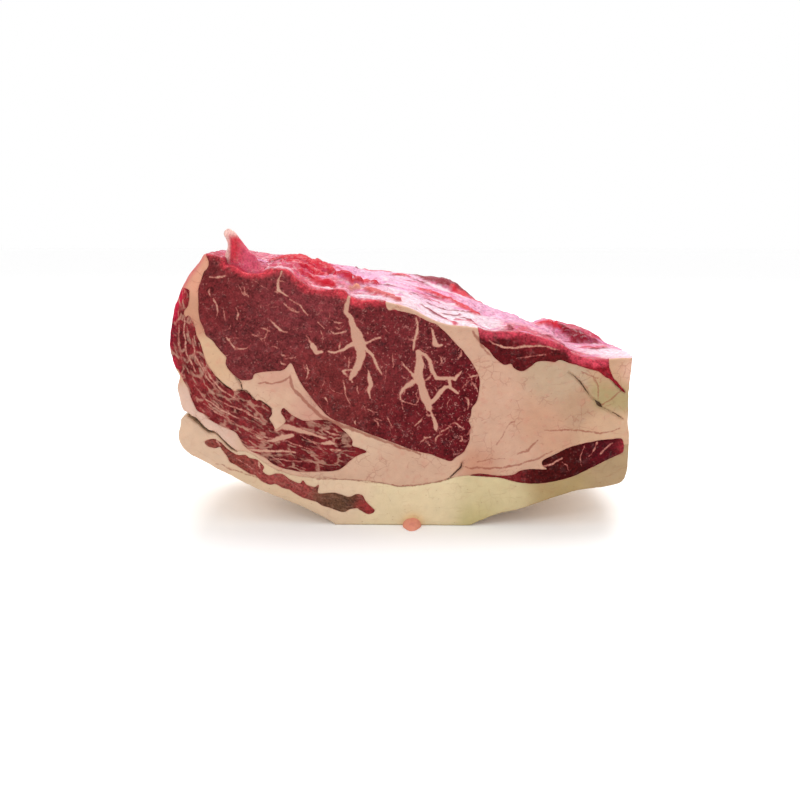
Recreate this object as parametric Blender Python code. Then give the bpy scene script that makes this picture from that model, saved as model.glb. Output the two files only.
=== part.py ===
"""Boneless ribeye roast, cut square across the grain and resting on its fat cap with the rib side up.

The cut face looks along -Y. The piece is a plane section carried back along Y and warped on the way: the rib
side rises towards the back, with the hollows that the ribs left, and the right flank bulges. Each muscle that
the cut shows is a solid that runs through the roast, and the fat is the solid round them.
Metres, +Z up, origin at the middle of the footprint.
"""

import math
from dataclasses import dataclass

import bmesh
import bpy
import numpy as np
from mathutils import Vector

MM = 0.001

# Driving sizes, in millimetres
DEPTH = 90.0  # from cut face to cut face
SCRAP_REACH = 8.0  # how far the loose scrap of fat stands out in front of the cut face
CENTRE_X = 1.2  # middle of the footprint, in the section's own x
FRONT_Y = (SCRAP_REACH - DEPTH) / 2
GAP = 0.3  # clearance between the muscles and the fat
OVERSHOOT = 6.0  # how far a muscle's run passes both cut faces before the roast trims it
SKIN_STEP = 4.4  # spacing of points round the roast
REST_STEP = 13.2  # spacing of points along the flat foot
MUSCLE_STEP = 3.7  # spacing of points round a muscle
SKIN_SPANS = 14  # divisions of the roast's depth
MUSCLE_SPANS = 3  # divisions of a muscle's depth
CURVE_SAMPLES = 12  # places worked out between two given points of a curve
FINER = 6  # how many times finer a closed loop is sampled before it is spaced out

# Sides, whose swelling sets in over a range of x or of -x
FLANK_BULGE = 4.6  # how far the right flank swells at mid depth
FLANK_RANGE = (88.0, 111.0)
SPINE_BULGE = 1.8  # how far the left side swells at mid depth
SPINE_RANGE = (80.0, 112.0)
SWELL_POWER = 0.6  # below 1 for sides that leave the cut faces steeply

# Rib side: hollows of the ribs, over a range of x, with none in the smooth film between
RIB_PITCH = 37.0  # from one rib's hollow to the next
RIB_HOLLOW = 1.5
RIB_FIRST = 12.0  # distance of the first hollow behind the cut face
HOLLOWS_START = (-96.0, -60.0)
HOLLOWS_END = (60.0, 100.0)
FILM_START = (-24.0, -10.0)
FILM_END = (30.0, 46.0)
SETTLE = (0.0, 14.0)  # distance behind the cut face over which the relief sets in
RELIEF_POWER = 5  # how fast the relief fades below the rib side
RELIEF_TOP = 1.2  # height over the rib side, as a share, above which it grows no more

# Rib side: the flap that stands up at the back right corner
FLAP_RISE = 6.2
FLAP_BEHIND = (52.0, 66.0)
FLAP_START = (70.0, 84.0)
FLAP_END = (100.0, 111.0)

# Section of the roast at the cut face, anticlockwise from its top left corner
SPINE_SIDE = (
    (-92.5, 136.0), (-97.0, 130.5), (-102.5, 123.5), (-107.0, 114.5), (-110.5, 105.0),
    (-112.0, 92.5), (-110.5, 81.0), (-109.0, 73.0), (-108.5, 63.0), (-105.5, 58.0),
)
CREASE = ((-105.5, 58.0), (-99.5, 52.0), (-92.0, 48.0), (-100.5, 50.0), (-107.5, 55.5))
CHUCK_LOBE = (
    (-107.5, 55.5), (-110.2, 50.0), (-110.0, 43.5), (-105.5, 36.5), (-90.5, 28.0),
    (-71.0, 18.5), (-51.0, 9.5), (-33.0, 0.0),
)
REST = ((-33.0, 0.0), (35.0, 0.0))
BELLY = ((35.0, 0.0), (50.0, 6.0), (70.0, 13.0), (87.0, 18.5), (101.5, 21.0), (110.0, 23.5))
FLANK = ((110.0, 23.5), (111.5, 34.0), (110.5, 55.5), (110.5, 73.0), (111.0, 85.5))
RIB_EDGE = (
    (111.0, 85.5), (100.0, 84.5), (91.5, 85.5), (83.0, 88.0), (75.5, 93.0), (67.0, 96.0),
    (55.0, 98.5), (43.0, 98.5), (32.5, 100.5), (23.5, 101.5), (15.5, 104.0), (5.0, 109.0),
    (-6.0, 112.5), (-18.5, 113.5), (-26.0, 116.5), (-35.0, 118.5), (-44.5, 120.0),
    (-49.0, 123.5), (-53.5, 127.5), (-63.5, 128.0), (-74.0, 126.5), (-82.5, 129.5),
    (-88.0, 134.0), (-92.5, 136.0),
)
# Height of the rib side at the back cut, over the same x as the front edge
BACK_EDGE = (
    (-112.0, 133.0), (-92.0, 134.0), (-66.0, 132.0), (-48.0, 129.0), (-31.0, 126.0),
    (-14.0, 123.0), (6.0, 120.0), (17.0, 117.0), (25.0, 114.0), (38.0, 108.0),
    (50.0, 102.0), (62.0, 97.0), (72.0, 93.0), (82.0, 90.0), (91.0, 87.0), (111.0, 82.0),
)

# Sections of the muscles. Where one reaches the outside, its last points pass beyond the skin.
EYE = (
    (-91.5, 130.5), (-95.5, 123.0), (-97.5, 113.5), (-97.0, 104.0), (-94.5, 96.5),
    (-89.0, 90.5), (-85.0, 84.5), (-80.5, 76.5), (-74.0, 75.0), (-70.0, 78.0),
    (-63.0, 79.0), (-57.5, 79.5), (-53.5, 82.5), (-51.0, 77.5), (-45.5, 68.0),
    (-39.0, 59.5), (-32.0, 54.0), (-20.0, 49.5), (-5.5, 44.0), (9.5, 38.5), (23.5, 34.5),
    (31.0, 38.5), (34.5, 49.0), (34.5, 58.5), (38.0, 67.5), (38.0, 77.0), (33.5, 85.0),
    (26.5, 92.5), (17.5, 100.8), (9.5, 104.6), (2.0, 107.6), (-6.0, 111.2),
    (-8.0, 146.0), (-87.0, 146.0),
)
CAP = (
    (-102.5, 119.0), (-102.0, 112.5), (-104.5, 107.5), (-100.5, 102.5), (-98.0, 93.5),
    (-95.0, 84.5), (-90.5, 76.0), (-84.5, 70.0), (-77.5, 69.0), (-72.5, 64.5),
    (-66.5, 62.0), (-64.0, 58.0), (-62.5, 50.0), (-57.5, 53.5), (-57.0, 59.5),
    (-51.0, 55.5), (-42.5, 54.5), (-32.5, 52.5), (-25.0, 46.0), (-17.5, 38.8),
    (-25.5, 33.5), (-33.0, 28.5), (-44.5, 28.0), (-55.0, 29.0), (-67.5, 35.0),
    (-78.5, 42.0), (-85.5, 50.0), (-94.5, 54.5), (-100.5, 59.0), (-103.5, 66.5),
    (-107.5, 76.0), (-112.5, 84.0), (-121.0, 86.0), (-122.0, 106.0), (-113.0, 119.0),
)
BACK = (
    (-97.5, 41.8), (-93.5, 43.2), (-88.0, 42.6), (-81.0, 37.5), (-75.5, 34.5),
    (-69.5, 28.5), (-62.5, 27.0), (-55.5, 24.0), (-47.0, 21.0), (-37.0, 17.5),
    (-28.0, 15.5), (-22.0, 16.5), (-17.5, 12.5), (-13.0, 8.0), (-17.5, 5.5),
    (-25.5, 8.0), (-31.5, 7.5), (-42.5, 12.5), (-53.0, 16.5), (-63.0, 21.5),
    (-73.0, 26.0), (-83.0, 31.5), (-89.0, 38.0), (-95.0, 40.0),
)
RIB = (
    (38.0, 95.5), (41.0, 90.0), (46.0, 85.5), (53.5, 82.5), (58.0, 79.5), (63.5, 82.0),
    (70.0, 84.5), (77.0, 84.5), (87.0, 82.0), (96.5, 78.5), (105.0, 72.0), (102.5, 79.0),
    (99.0, 84.5), (101.0, 104.0), (70.0, 112.0), (38.5, 112.0),
)
LIP = (
    (34.5, 26.5), (44.5, 27.0), (56.0, 27.0), (64.5, 30.0), (72.5, 30.5), (73.5, 35.0),
    (82.5, 41.0), (93.5, 44.0), (103.0, 45.5), (107.5, 44.5), (105.5, 37.0), (96.5, 32.0),
    (84.5, 26.5), (72.0, 23.5), (57.0, 23.5), (44.5, 25.0),
)

# Meat tag: a torn strip that stands up near the top left corner, as places (x, height over its foot), widths
TAG_FOOT = (-78.5, 127.0)
TAG_BEHIND = 9.0  # distance of the tag behind the cut face
TAG_RISE = ((0.0, -3.0), (-0.8, 3.0), (-2.6, 8.5), (-3.4, 13.5), (-3.2, 18.2), (-2.6, 21.0))
TAG_WIDTH = (17.0, 11.5, 8.2, 6.4, 4.8, 1.6)
TAG_THICK = 0.62  # its thickness, as a share of its width
TAG_WAVE = 0.06  # how far its rings rise and fall, as a share of its width
TAG_SIDES = 12

# Loose scrap of fat at the foot of the cut face
SCRAP_X = 5.8
SCRAP_SIZE = (9.5, 22.0, 4.4)  # width, length along Y and height
SCRAP_RINGS = 7
SCRAP_SIDES = 14

# Colours (linear) and roughness
LEAN_ROUGHNESS = 0.4
SUET_ROUGHNESS = 0.45
LEAN = (0.135, 0.024, 0.027)
LEAN_CAP = (0.165, 0.032, 0.036)
LEAN_DRY = (0.150, 0.036, 0.034)
LEAN_RIB = (0.200, 0.030, 0.034)
SUET = (0.640, 0.430, 0.290)


@dataclass(frozen=True)
class Fold:
    """A fold along the rib side, a bell across its line and a bell along x.

    Attributes:
        height: of its crest.
        x, behind: its middle, in the section's x and as a distance behind the cut face.
        length, width: half its length along x and half its breadth.
        slant: how far its line drifts back for each millimetre of x.
    """

    height: float
    x: float
    behind: float
    length: float
    width: float
    slant: float = 0.0

    def rise(self, x, behind):
        """Its height at x, so far behind the cut face."""
        line = self.behind + self.slant * (x - self.x)
        return self.height * bump(behind, line, self.width) * bump(x, self.x, self.length)


FOLDS = (
    Fold(height=2.0, x=-28.0, behind=25.12, length=34.0, width=4.5, slant=0.16),
    Fold(height=4.6, x=26.0, behind=80.92, length=13.0, width=7.0, slant=-0.22),
    Fold(height=2.2, x=30.0, behind=62.0, length=20.0, width=6.0),
)


def clear_scene():
    """Remove every object that the scene starts with."""
    for thing in list(bpy.data.objects):
        bpy.data.objects.remove(thing, do_unlink=True)


def curve_through(points, step):
    """Points a step apart along a Catmull-Rom curve through the given ones, both ends kept."""
    knots = np.array(points, float)
    ends = (2 * knots[0] - knots[1], 2 * knots[-1] - knots[-2])
    padded = np.vstack([ends[0], knots, ends[1]])
    t = np.linspace(0.0, 1.0, CURVE_SAMPLES, endpoint=False)[:, None]
    runs = []
    for a, b, c, d in zip(padded, padded[1:], padded[2:], padded[3:]):
        runs.append(0.5 * (2 * b + (c - a) * t + (2 * a - 5 * b + 4 * c - d) * t**2
                           + (3 * b - a - 3 * c + d) * t**3))
    return spaced(np.vstack(runs + [knots[-1:]]), step)


def spaced(line, step):
    """The same line with its points evenly spaced, about a step apart."""
    lengths = np.concatenate([[0.0], np.cumsum(np.linalg.norm(np.diff(line, axis=0), axis=1))])
    count = max(2, round(lengths[-1] / step) + 1)
    places = np.linspace(0.0, lengths[-1], count)
    return np.stack([np.interp(places, lengths, line[:, axis]) for axis in (0, 1)], axis=1)


def closed_curve(points, step):
    """A smooth closed loop through the points."""
    around = list(points[-3:]) + list(points) + list(points[:3])
    dense = curve_through(around, step / FINER)
    half = len(dense) // 2
    gaps = np.linalg.norm(dense - np.array(points[0]), axis=1)
    first = int(np.argmin(gaps[:half]))
    last = half + int(np.argmin(gaps[half:]))
    return spaced(dense[first : last + 1], step)[:-1]


def roast_section():
    """The roast's whole outline: curves that meet at its corners, each without its last point."""
    runs = [
        curve_through(SPINE_SIDE, SKIN_STEP),
        np.array(CREASE),
        curve_through(CHUCK_LOBE, SKIN_STEP),
        spaced(np.array(REST), REST_STEP),
        curve_through(BELLY, SKIN_STEP),
        curve_through(FLANK, SKIN_STEP),
        curve_through(RIB_EDGE, SKIN_STEP),
    ]
    return np.vstack([run[:-1] for run in runs])


def grown(loop, gap):
    """The loop moved out by the gap, along the mean normal at each point, whichever way it runs."""
    along = np.roll(loop, -1, axis=0) - np.roll(loop, 1, axis=0)
    doubled_area = np.sum(loop[:, 0] * along[:, 1] - loop[:, 1] * along[:, 0])
    normal = math.copysign(1.0, doubled_area) * np.stack([along[:, 1], -along[:, 0]], axis=1)
    return loop + gap * normal / np.linalg.norm(normal, axis=1)[:, None]


def height_at(edge, x):
    """Height of an edge given as points, at x."""
    ordered = sorted(edge)
    return np.interp(x, [p[0] for p in ordered], [p[1] for p in ordered])


def smooth_step(value, low, high):
    """0 below low, 1 above high, with a smooth rise between."""
    t = min(1.0, max(0.0, (value - low) / (high - low)))
    return t * t * (3.0 - 2.0 * t)


def bump(value, centre, width):
    """A bell of height 1 about the centre."""
    return math.exp(-(((value - centre) / width) ** 2))


def rib_side_relief(x, behind):
    """Height added to the rib side at x, so far behind the cut: the ribs' hollows, the folds and the flap."""
    hollows = RIB_HOLLOW * math.cos(2 * math.pi * (behind - RIB_FIRST - RIB_PITCH / 2) / RIB_PITCH)
    hollows *= smooth_step(x, *HOLLOWS_START) * (1.0 - smooth_step(x, *HOLLOWS_END))
    hollows *= 1.0 - smooth_step(x, *FILM_START) * (1.0 - smooth_step(x, *FILM_END))
    flap = FLAP_RISE * smooth_step(behind, *FLAP_BEHIND)
    flap *= smooth_step(x, *FLAP_START) * (1.0 - smooth_step(x, *FLAP_END))
    folds = sum(fold.rise(x, behind) for fold in FOLDS)
    return smooth_step(behind, *SETTLE) * (hollows + folds + flap)


def warped(x, behind, z, relief):
    """Where a point of the straight extrusion goes, as an (x, z) pair.

    Heights are scaled from the floor so that the rib edge runs from its front height to its back height, and
    both flanks swell outwards at mid depth. The relief, where it is asked for, is added near the top alone.
    """
    share = behind / DEPTH
    front = height_at(RIB_EDGE, x)
    risen = 1.0 + share * (height_at(BACK_EDGE, x) / front - 1.0)
    z_out = z * risen
    if relief:
        z_out += min(RELIEF_TOP, max(0.0, z / front)) ** RELIEF_POWER * rib_side_relief(x, behind)
    swell = math.sin(math.pi * share) ** SWELL_POWER if 0.0 < share < 1.0 else 0.0
    bulge = FLANK_BULGE * smooth_step(x, *FLANK_RANGE) - SPINE_BULGE * smooth_step(-x, *SPINE_RANGE)
    return x + swell * bulge, z_out


def run_through(section, spans, name, overshoot=0.0):
    """Mesh of a section carried along Y in spans and warped. One that stops at the cuts is skin, with relief."""
    bm = bmesh.new()
    rings = []
    for behind in np.linspace(-overshoot, DEPTH + overshoot, spans + 1):
        ring = []
        for x, z in section:
            x_out, z_out = warped(x, behind, z, overshoot == 0.0)
            ring.append(bm.verts.new(Vector((x_out - CENTRE_X, behind + FRONT_Y, z_out)) * MM))
        rings.append(ring)
    for near, far in zip(rings, rings[1:]):
        for a, b, c, d in zip(near, near[1:] + near[:1], far[1:] + far[:1], far):
            bm.faces.new((a, b, c, d))
    bm.faces.new(rings[0][::-1])
    bm.faces.new(rings[-1])
    bmesh.ops.recalc_face_normals(bm, faces=bm.faces)
    bmesh.ops.triangulate(bm, faces=bm.faces, quad_method="FIXED")
    mesh = bpy.data.meshes.new(name)
    bm.to_mesh(mesh)
    bm.free()
    return mesh


def placed(name, mesh, guide=False):
    """An object of the mesh in the scene, left out of the render where it only guides a Boolean."""
    thing = bpy.data.objects.new(name, mesh)
    bpy.context.scene.collection.objects.link(thing)
    if guide:
        thing.hide_render = True
        thing.display_type = "WIRE"
    return thing


def boolean(thing, other, operation):
    """An exact Boolean with another object, kept as a modifier."""
    modifier = thing.modifiers.new(other.name, "BOOLEAN")
    modifier.operation = operation
    modifier.solver = "EXACT"
    modifier.object = other


def tag_mesh():
    """The standing tag: rings of an ellipse along a bent path, closed by its end rings."""
    bm = bmesh.new()
    rings = []
    for (shift, rise), width in zip(TAG_RISE, TAG_WIDTH):
        ring = []
        for side in range(TAG_SIDES):
            turn = 2 * math.pi * side / TAG_SIDES
            x = TAG_FOOT[0] + shift + 0.5 * width * math.cos(turn) - CENTRE_X
            y = FRONT_Y + TAG_BEHIND + 0.5 * width * TAG_THICK * math.sin(turn)
            z = TAG_FOOT[1] + rise + TAG_WAVE * width * math.cos(2 * turn)
            ring.append(bm.verts.new(Vector((x, y, z)) * MM))
        rings.append(ring)
    for low, high in zip(rings, rings[1:]):
        for side in range(TAG_SIDES):
            after = (side + 1) % TAG_SIDES
            bm.faces.new((low[side], low[after], high[after], high[side]))
    bm.faces.new(rings[0][::-1])
    bm.faces.new(rings[-1])
    bmesh.ops.recalc_face_normals(bm, faces=bm.faces)
    mesh = bpy.data.meshes.new("tag")
    bm.to_mesh(mesh)
    bm.free()
    return mesh


def scrap_mesh():
    """The loose scrap: half of a long ball, flat on the floor, with its far half inside the fat."""
    bm = bmesh.new()
    bmesh.ops.create_uvsphere(bm, u_segments=SCRAP_SIDES, v_segments=SCRAP_RINGS, radius=0.5)
    bmesh.ops.scale(bm, vec=(SCRAP_SIZE[0], SCRAP_SIZE[1], SCRAP_SIZE[2] * 2), verts=bm.verts)
    bmesh.ops.bisect_plane(
        bm, geom=bm.verts[:] + bm.edges[:] + bm.faces[:],
        plane_co=(0.0, 0.0, 0.0), plane_no=(0.0, 0.0, 1.0), clear_inner=True,
    )
    rim = [edge for edge in bm.edges if edge.is_boundary]
    bmesh.ops.contextual_create(bm, geom=rim)
    middle = FRONT_Y - SCRAP_REACH + SCRAP_SIZE[1] / 2
    bmesh.ops.translate(bm, verts=bm.verts, vec=(SCRAP_X - CENTRE_X, middle, 0.0))
    bmesh.ops.scale(bm, vec=(MM, MM, MM), verts=bm.verts)
    bmesh.ops.recalc_face_normals(bm, faces=bm.faces)
    mesh = bpy.data.meshes.new("scrap")
    bm.to_mesh(mesh)
    bm.free()
    return mesh


def finish(name, colour, roughness):
    """A Principled material."""
    material = bpy.data.materials.new(name)
    material.use_nodes = True
    shader = material.node_tree.nodes["Principled BSDF"]
    shader.inputs["Base Color"].default_value = (*colour, 1.0)
    shader.inputs["Roughness"].default_value = roughness
    shader.inputs["Metallic"].default_value = 0.0
    return material


def muscle(name, section, roast, material):
    """A muscle's solid, the roast inside the muscle's own run, and the guide that clears the fat for it."""
    loop = closed_curve(section, MUSCLE_STEP)
    thing = placed(name, run_through(loop, MUSCLE_SPANS, name, overshoot=OVERSHOOT))
    boolean(thing, roast, "INTERSECT")
    thing.data.materials.append(material)
    room = run_through(grown(loop, GAP), MUSCLE_SPANS, name + "_room", overshoot=OVERSHOOT)
    return thing, placed(name + "_room", room, guide=True)


def main():
    """Build the roast's muscles and the fat round them."""
    clear_scene()
    section = roast_section()
    roast = placed("roast_guide", run_through(section, SKIN_SPANS, "roast_guide"), guide=True)
    fat = placed("fat", run_through(section, SKIN_SPANS, "fat"))
    fat.data.materials.append(finish("suet", SUET, SUET_ROUGHNESS))
    muscles = (
        ("eye_muscle", EYE, LEAN),
        ("cap_muscle", CAP, LEAN_CAP),
        ("back_muscle", BACK, LEAN_DRY),
        ("rib_muscle", RIB, LEAN_RIB),
        ("lip_muscle", LIP, LEAN_CAP),
    )
    for name, outline, colour in muscles:
        thing, room = muscle(name, outline, roast, finish(name + "_lean", colour, LEAN_ROUGHNESS))
        boolean(fat, room, "DIFFERENCE")
        if name == "eye_muscle":
            boolean(thing, placed("tag_guide", tag_mesh(), guide=True), "UNION")
    boolean(fat, placed("scrap_guide", scrap_mesh(), guide=True), "UNION")


main()
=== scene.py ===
"""Looks of a boneless ribeye roast that rests on its fat cap, cut square across the grain, rib side up.

The roast is one plane section carried back along +Y and warped on the way, as the frame's solids are. The
section is cut into triangles, fine for the front cut and coarser for the back, with every tissue's outline
as a border, so that neighbouring pieces share their edges. Each piece is its triangles at the front cut,
those at the back cut, and walls between them. Places and sizes are millimetres in the section's own axes,
x to the right and z up, until a mesh is written.
"""

import logging
import math
from dataclasses import dataclass, field
from enum import Enum

import bpy
import numpy as np
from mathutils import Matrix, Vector
from mathutils.geometry import delaunay_2d_cdt


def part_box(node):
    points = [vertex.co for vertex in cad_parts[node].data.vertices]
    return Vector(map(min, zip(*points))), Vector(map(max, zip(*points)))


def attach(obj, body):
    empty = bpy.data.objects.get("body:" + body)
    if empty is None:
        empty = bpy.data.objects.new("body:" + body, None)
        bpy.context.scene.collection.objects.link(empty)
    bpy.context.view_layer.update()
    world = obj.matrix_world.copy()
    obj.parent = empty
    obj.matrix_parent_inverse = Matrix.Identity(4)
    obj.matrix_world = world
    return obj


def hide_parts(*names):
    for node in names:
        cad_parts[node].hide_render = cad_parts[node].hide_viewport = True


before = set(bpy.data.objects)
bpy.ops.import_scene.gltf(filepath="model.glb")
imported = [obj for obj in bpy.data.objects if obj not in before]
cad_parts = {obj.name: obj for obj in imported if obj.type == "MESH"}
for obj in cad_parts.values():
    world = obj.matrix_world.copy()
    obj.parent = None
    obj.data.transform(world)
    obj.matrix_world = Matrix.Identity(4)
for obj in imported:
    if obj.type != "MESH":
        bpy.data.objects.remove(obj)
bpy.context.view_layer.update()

MM = 0.001
LOG = logging.getLogger("roast")

Points = tuple[tuple[float, float], ...]
Branch = tuple[tuple[float, float, float], ...]
Colour = tuple[float, float, float]
Screen = tuple[int, int, int]

# The roast's length of cut, from the frame, and the middle of its footprint in the section's x
_low, _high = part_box("eye_muscle")
FRONT_Y = _low[1] / MM
DEPTH = (_high[1] - _low[1]) / MM
CENTRE_X = 1.2

# Fineness
OUTLINE_STEP = 0.6
REST_STEP = 1.5
FRONT_STEP = 0.5
BACK_STEP = 0.95
RING_FIRST = 0.45  # the rings' first gap, of those that grow evenly to the last and are then scaled to fit
RING_LAST = 1.7
RINGS = 72
WALL_REACH = 9.0  # depth below the skin down to which the walls between tissues have rings
FAR_OUT = -3.0  # stands for every depth in a branch that is more than 3 mm outside it

# Outline of the cut, anticlockwise from the top left corner
SPINE_SIDE: Points = (
    (-89.5, 135), (-93.5, 135.3), (-95.5, 132.5), (-98, 129.5), (-101, 126), (-103.5, 122), (-105.5, 118.5),
    (-107.5, 113.5), (-109, 110.5), (-110.5, 104), (-112, 96.5), (-112.5, 91.5), (-112, 87), (-110.5, 81),
    (-108.5, 76.5), (-109, 73.5), (-110, 70.5), (-109.5, 67.5), (-108.5, 62), (-107.5, 59), (-105.5, 58),
)
CREASE_TOP: Points = (
    (-105.5, 58), (-103.5, 56.3), (-101, 55), (-99, 52.5), (-97, 50.2), (-95, 48.8), (-93, 48.5),
    (-91, 47.2), (-88.5, 44.2), (-86, 41.7), (-83.5, 39.4), (-82, 38),
)
CREASE_FOOT: Points = (
    (-82, 38), (-84.5, 39), (-87, 41.3), (-90, 45), (-92, 47.2), (-95.5, 47.5), (-98, 49.3), (-100.5, 52),
    (-103, 54), (-106, 56.5),
)
CHUCK_LOBE: Points = (
    (-106, 56.5), (-108, 55.5), (-109, 54), (-109.5, 50.5), (-110.5, 47.5), (-110.5, 44), (-109, 40.5),
    (-107, 38), (-104.5, 36), (-100.5, 34), (-95.5, 31), (-90.5, 28), (-85.5, 25.5), (-76, 20.5), (-66, 16),
    (-56, 12), (-46, 7.5), (-36, 2), (-33, 0),
)
REST: Points = ((-33, 0), (35, 0))
BELLY: Points = (
    (35, 0), (40, 2.5), (50, 6.5), (60, 9), (72.5, 13.5), (79.5, 16), (87, 18.5), (92, 19.5), (99.5, 20.5),
    (104.5, 21.5), (109, 23), (111, 25.5),
)
FLANK: Points = (
    (111, 25.5), (112, 30), (112, 35), (112, 46.5), (111, 53), (111, 58), (110.5, 68), (111, 77.5),
    (111.5, 86),
)
RIB_EDGE: Points = (
    (111.5, 86), (106, 86), (101, 85.5), (98.5, 85), (91.5, 85.5), (84, 87.5), (81.5, 90), (77.5, 92.5),
    (74.5, 93.5), (67.5, 96), (57, 98.5), (43, 98.5), (38, 100), (32, 101), (24, 101.5), (15.5, 104),
    (5, 109.5), (-6, 112.5), (-10, 113.5), (-19, 113.5), (-22.5, 114.5), (-25, 115.5), (-26.5, 117.5),
    (-29, 118.5), (-36, 118.5), (-41, 118.5), (-44.5, 120), (-47, 122), (-49.5, 123.5), (-52.5, 126.5),
    (-54.5, 128), (-59.5, 128.5), (-63.5, 128), (-66, 126.5), (-71, 126), (-74, 126.5), (-76.5, 127.5),
    (-80.5, 130), (-83.5, 130), (-85, 133.5), (-89.5, 135),
)
# Height of the rib side at the back cut
BACK_EDGE: Points = (
    (-112, 133), (-92, 134), (-66, 132), (-48, 129), (-31, 126), (-14, 123), (6, 120), (17, 117), (25, 114),
    (38, 108), (50, 102), (62, 97), (72, 93), (82, 90), (91, 87), (111, 82),
)

# Outlines of the muscles. Where one reaches the outside, it passes beyond the skin there.
EYE: Points = (
    (-91.5, 130.5), (-94, 127), (-95.5, 123), (-97, 118.5), (-97.5, 109), (-97, 104), (-95.5, 100),
    (-94.5, 96.5), (-91.5, 94), (-89, 90.5), (-86, 87), (-85, 85.5), (-85.5, 82.5), (-83.5, 79),
    (-80.5, 76), (-77.5, 74.5), (-73, 75), (-71.5, 77.5), (-68, 78.5), (-63, 79), (-57.5, 79.5), (-55, 82),
    (-53.5, 83), (-52, 80.5), (-51, 77.5), (-48.5, 72.5), (-45.5, 68), (-42.5, 64), (-39.5, 60.5),
    (-36.5, 57), (-32.5, 54.5), (-27.5, 52.5), (-20, 49.5), (-15, 47.5), (-5.5, 44), (4.5, 40),
    (14.5, 37.5), (21, 35), (25, 34), (27.5, 36), (31, 38.5), (32.5, 41), (34, 45), (34, 48.5),
    (34.5, 51.5), (33.5, 54.5), (34.5, 57.5), (35, 61), (37, 64), (38, 67.5), (38.5, 72.5), (38, 77),
    (36, 81), (33.5, 85), (30, 89.5), (26, 93.5), (22, 98), (19, 100.5), (17.5, 101.9), (14, 103.2),
    (9.5, 105.4), (7, 106.8), (2, 108), (-2.5, 109.2), (-7.3, 112.2), (-8.3, 146), (-87, 146),
)
CAP: Points = (
    (-102.5, 119), (-101.5, 115.5), (-102.5, 111), (-104.5, 108), (-104, 105.5), (-102, 106), (-100.5, 103),
    (-99.5, 100), (-99, 96.5), (-97.5, 93), (-96.5, 89.5), (-95.5, 85.5), (-94, 81.5), (-92, 78.5),
    (-90.5, 76), (-88, 73), (-85, 70.5), (-81, 69), (-77.5, 69), (-74.5, 67), (-72.5, 64.5), (-69.5, 64),
    (-66.5, 62), (-64, 59.5), (-63.5, 57.5), (-65, 55), (-63.5, 52.5), (-62, 49.5), (-59.5, 51), (-57, 54),
    (-59, 58.5), (-57.5, 60.5), (-54.5, 57.5), (-51, 55.5), (-47.5, 54), (-41, 54.5), (-37, 54.5),
    (-32.5, 52.5), (-29, 50), (-26, 47), (-24, 44), (-24, 41.5), (-21, 40.5), (-17, 38.5), (-21.5, 36.5),
    (-25.5, 33.5), (-28, 31), (-33, 28.5), (-44.5, 28), (-50.5, 28), (-55, 29), (-58, 29.5), (-63, 31.5),
    (-67.5, 35), (-72.5, 37.5), (-76, 39.5), (-78.5, 42), (-80, 45), (-82, 48), (-85.5, 50), (-89.5, 51.5),
    (-94.5, 54.5), (-97.5, 57.5), (-100.5, 59), (-102, 62), (-103.5, 66.5), (-104.5, 70.5), (-106.5, 74),
    (-108, 77.5), (-110, 80.5), (-121, 86), (-122, 106), (-113, 119),
)
BACK: Points = (
    (-97.5, 43), (-95.5, 44.3), (-92.5, 44.6), (-89.5, 42.8), (-87, 40.2), (-83.5, 37.6), (-81, 36.4),
    (-77.5, 36.4), (-75.5, 35), (-71.5, 34), (-68.5, 30.5), (-69, 28), (-66, 26), (-62.5, 27), (-59, 26.5),
    (-55.5, 24), (-52.5, 22.5), (-50.5, 22), (-49, 23.5), (-47, 21), (-43.5, 20), (-41, 21), (-41.5, 17),
    (-37, 17), (-33, 17), (-28, 15.5), (-25.5, 15), (-22, 16.5), (-19, 15.5), (-17.5, 12.5), (-14.5, 9.5),
    (-13, 8), (-14, 6.5), (-17, 6), (-20.5, 8), (-22, 9), (-25.5, 8.5), (-28.5, 7), (-31.5, 7.5), (-35, 9),
    (-39.5, 10.5), (-42.5, 12.5), (-44.5, 13), (-49, 14.5), (-53, 16.5), (-55.5, 18.5), (-59, 19.5),
    (-63, 21.5), (-65.5, 21), (-69, 22.5), (-71, 24), (-73, 26), (-75, 26.5), (-79, 29), (-83, 31.5),
    (-85.5, 33), (-86.5, 35.5), (-89, 39), (-90, 40.5), (-92.5, 40), (-96, 41),
)
RIB: Points = (
    (38, 95.5), (40, 92), (42.5, 90), (45, 86.5), (48, 84), (50.5, 82.5), (53.5, 83), (55, 81), (58, 79.5),
    (60.5, 80), (63.5, 82), (66, 84), (70, 84.5), (74.5, 84), (77, 85), (82, 83.5), (87, 82), (91.5, 80.5),
    (95.5, 79.5), (99, 77), (102.5, 75), (105.5, 72), (109, 69), (107, 72), (105, 74.5), (103, 76.5),
    (101.5, 80), (100.7, 83), (100.3, 90), (101, 104), (70, 112), (38.9, 112),
)
LIP: Points = (
    (34.5, 26.5), (39.5, 27.5), (44.5, 27), (49.5, 26.5), (56, 27), (59.5, 29), (64.5, 30), (72.5, 30),
    (70.5, 32), (70.5, 34.5), (74, 36.5), (79, 39), (82.5, 41), (87, 42.5), (90.5, 43.5), (93.5, 44),
    (98, 45), (103, 45.5), (108, 46), (109.5, 44.5), (110, 41.5), (109.5, 39), (106, 37), (101, 34.5),
    (96.5, 32), (89, 28), (84.5, 26), (79.5, 24.5), (72, 23), (64.5, 22.5), (57, 23.5), (49.5, 25.5),
    (42, 26),
)
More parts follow.
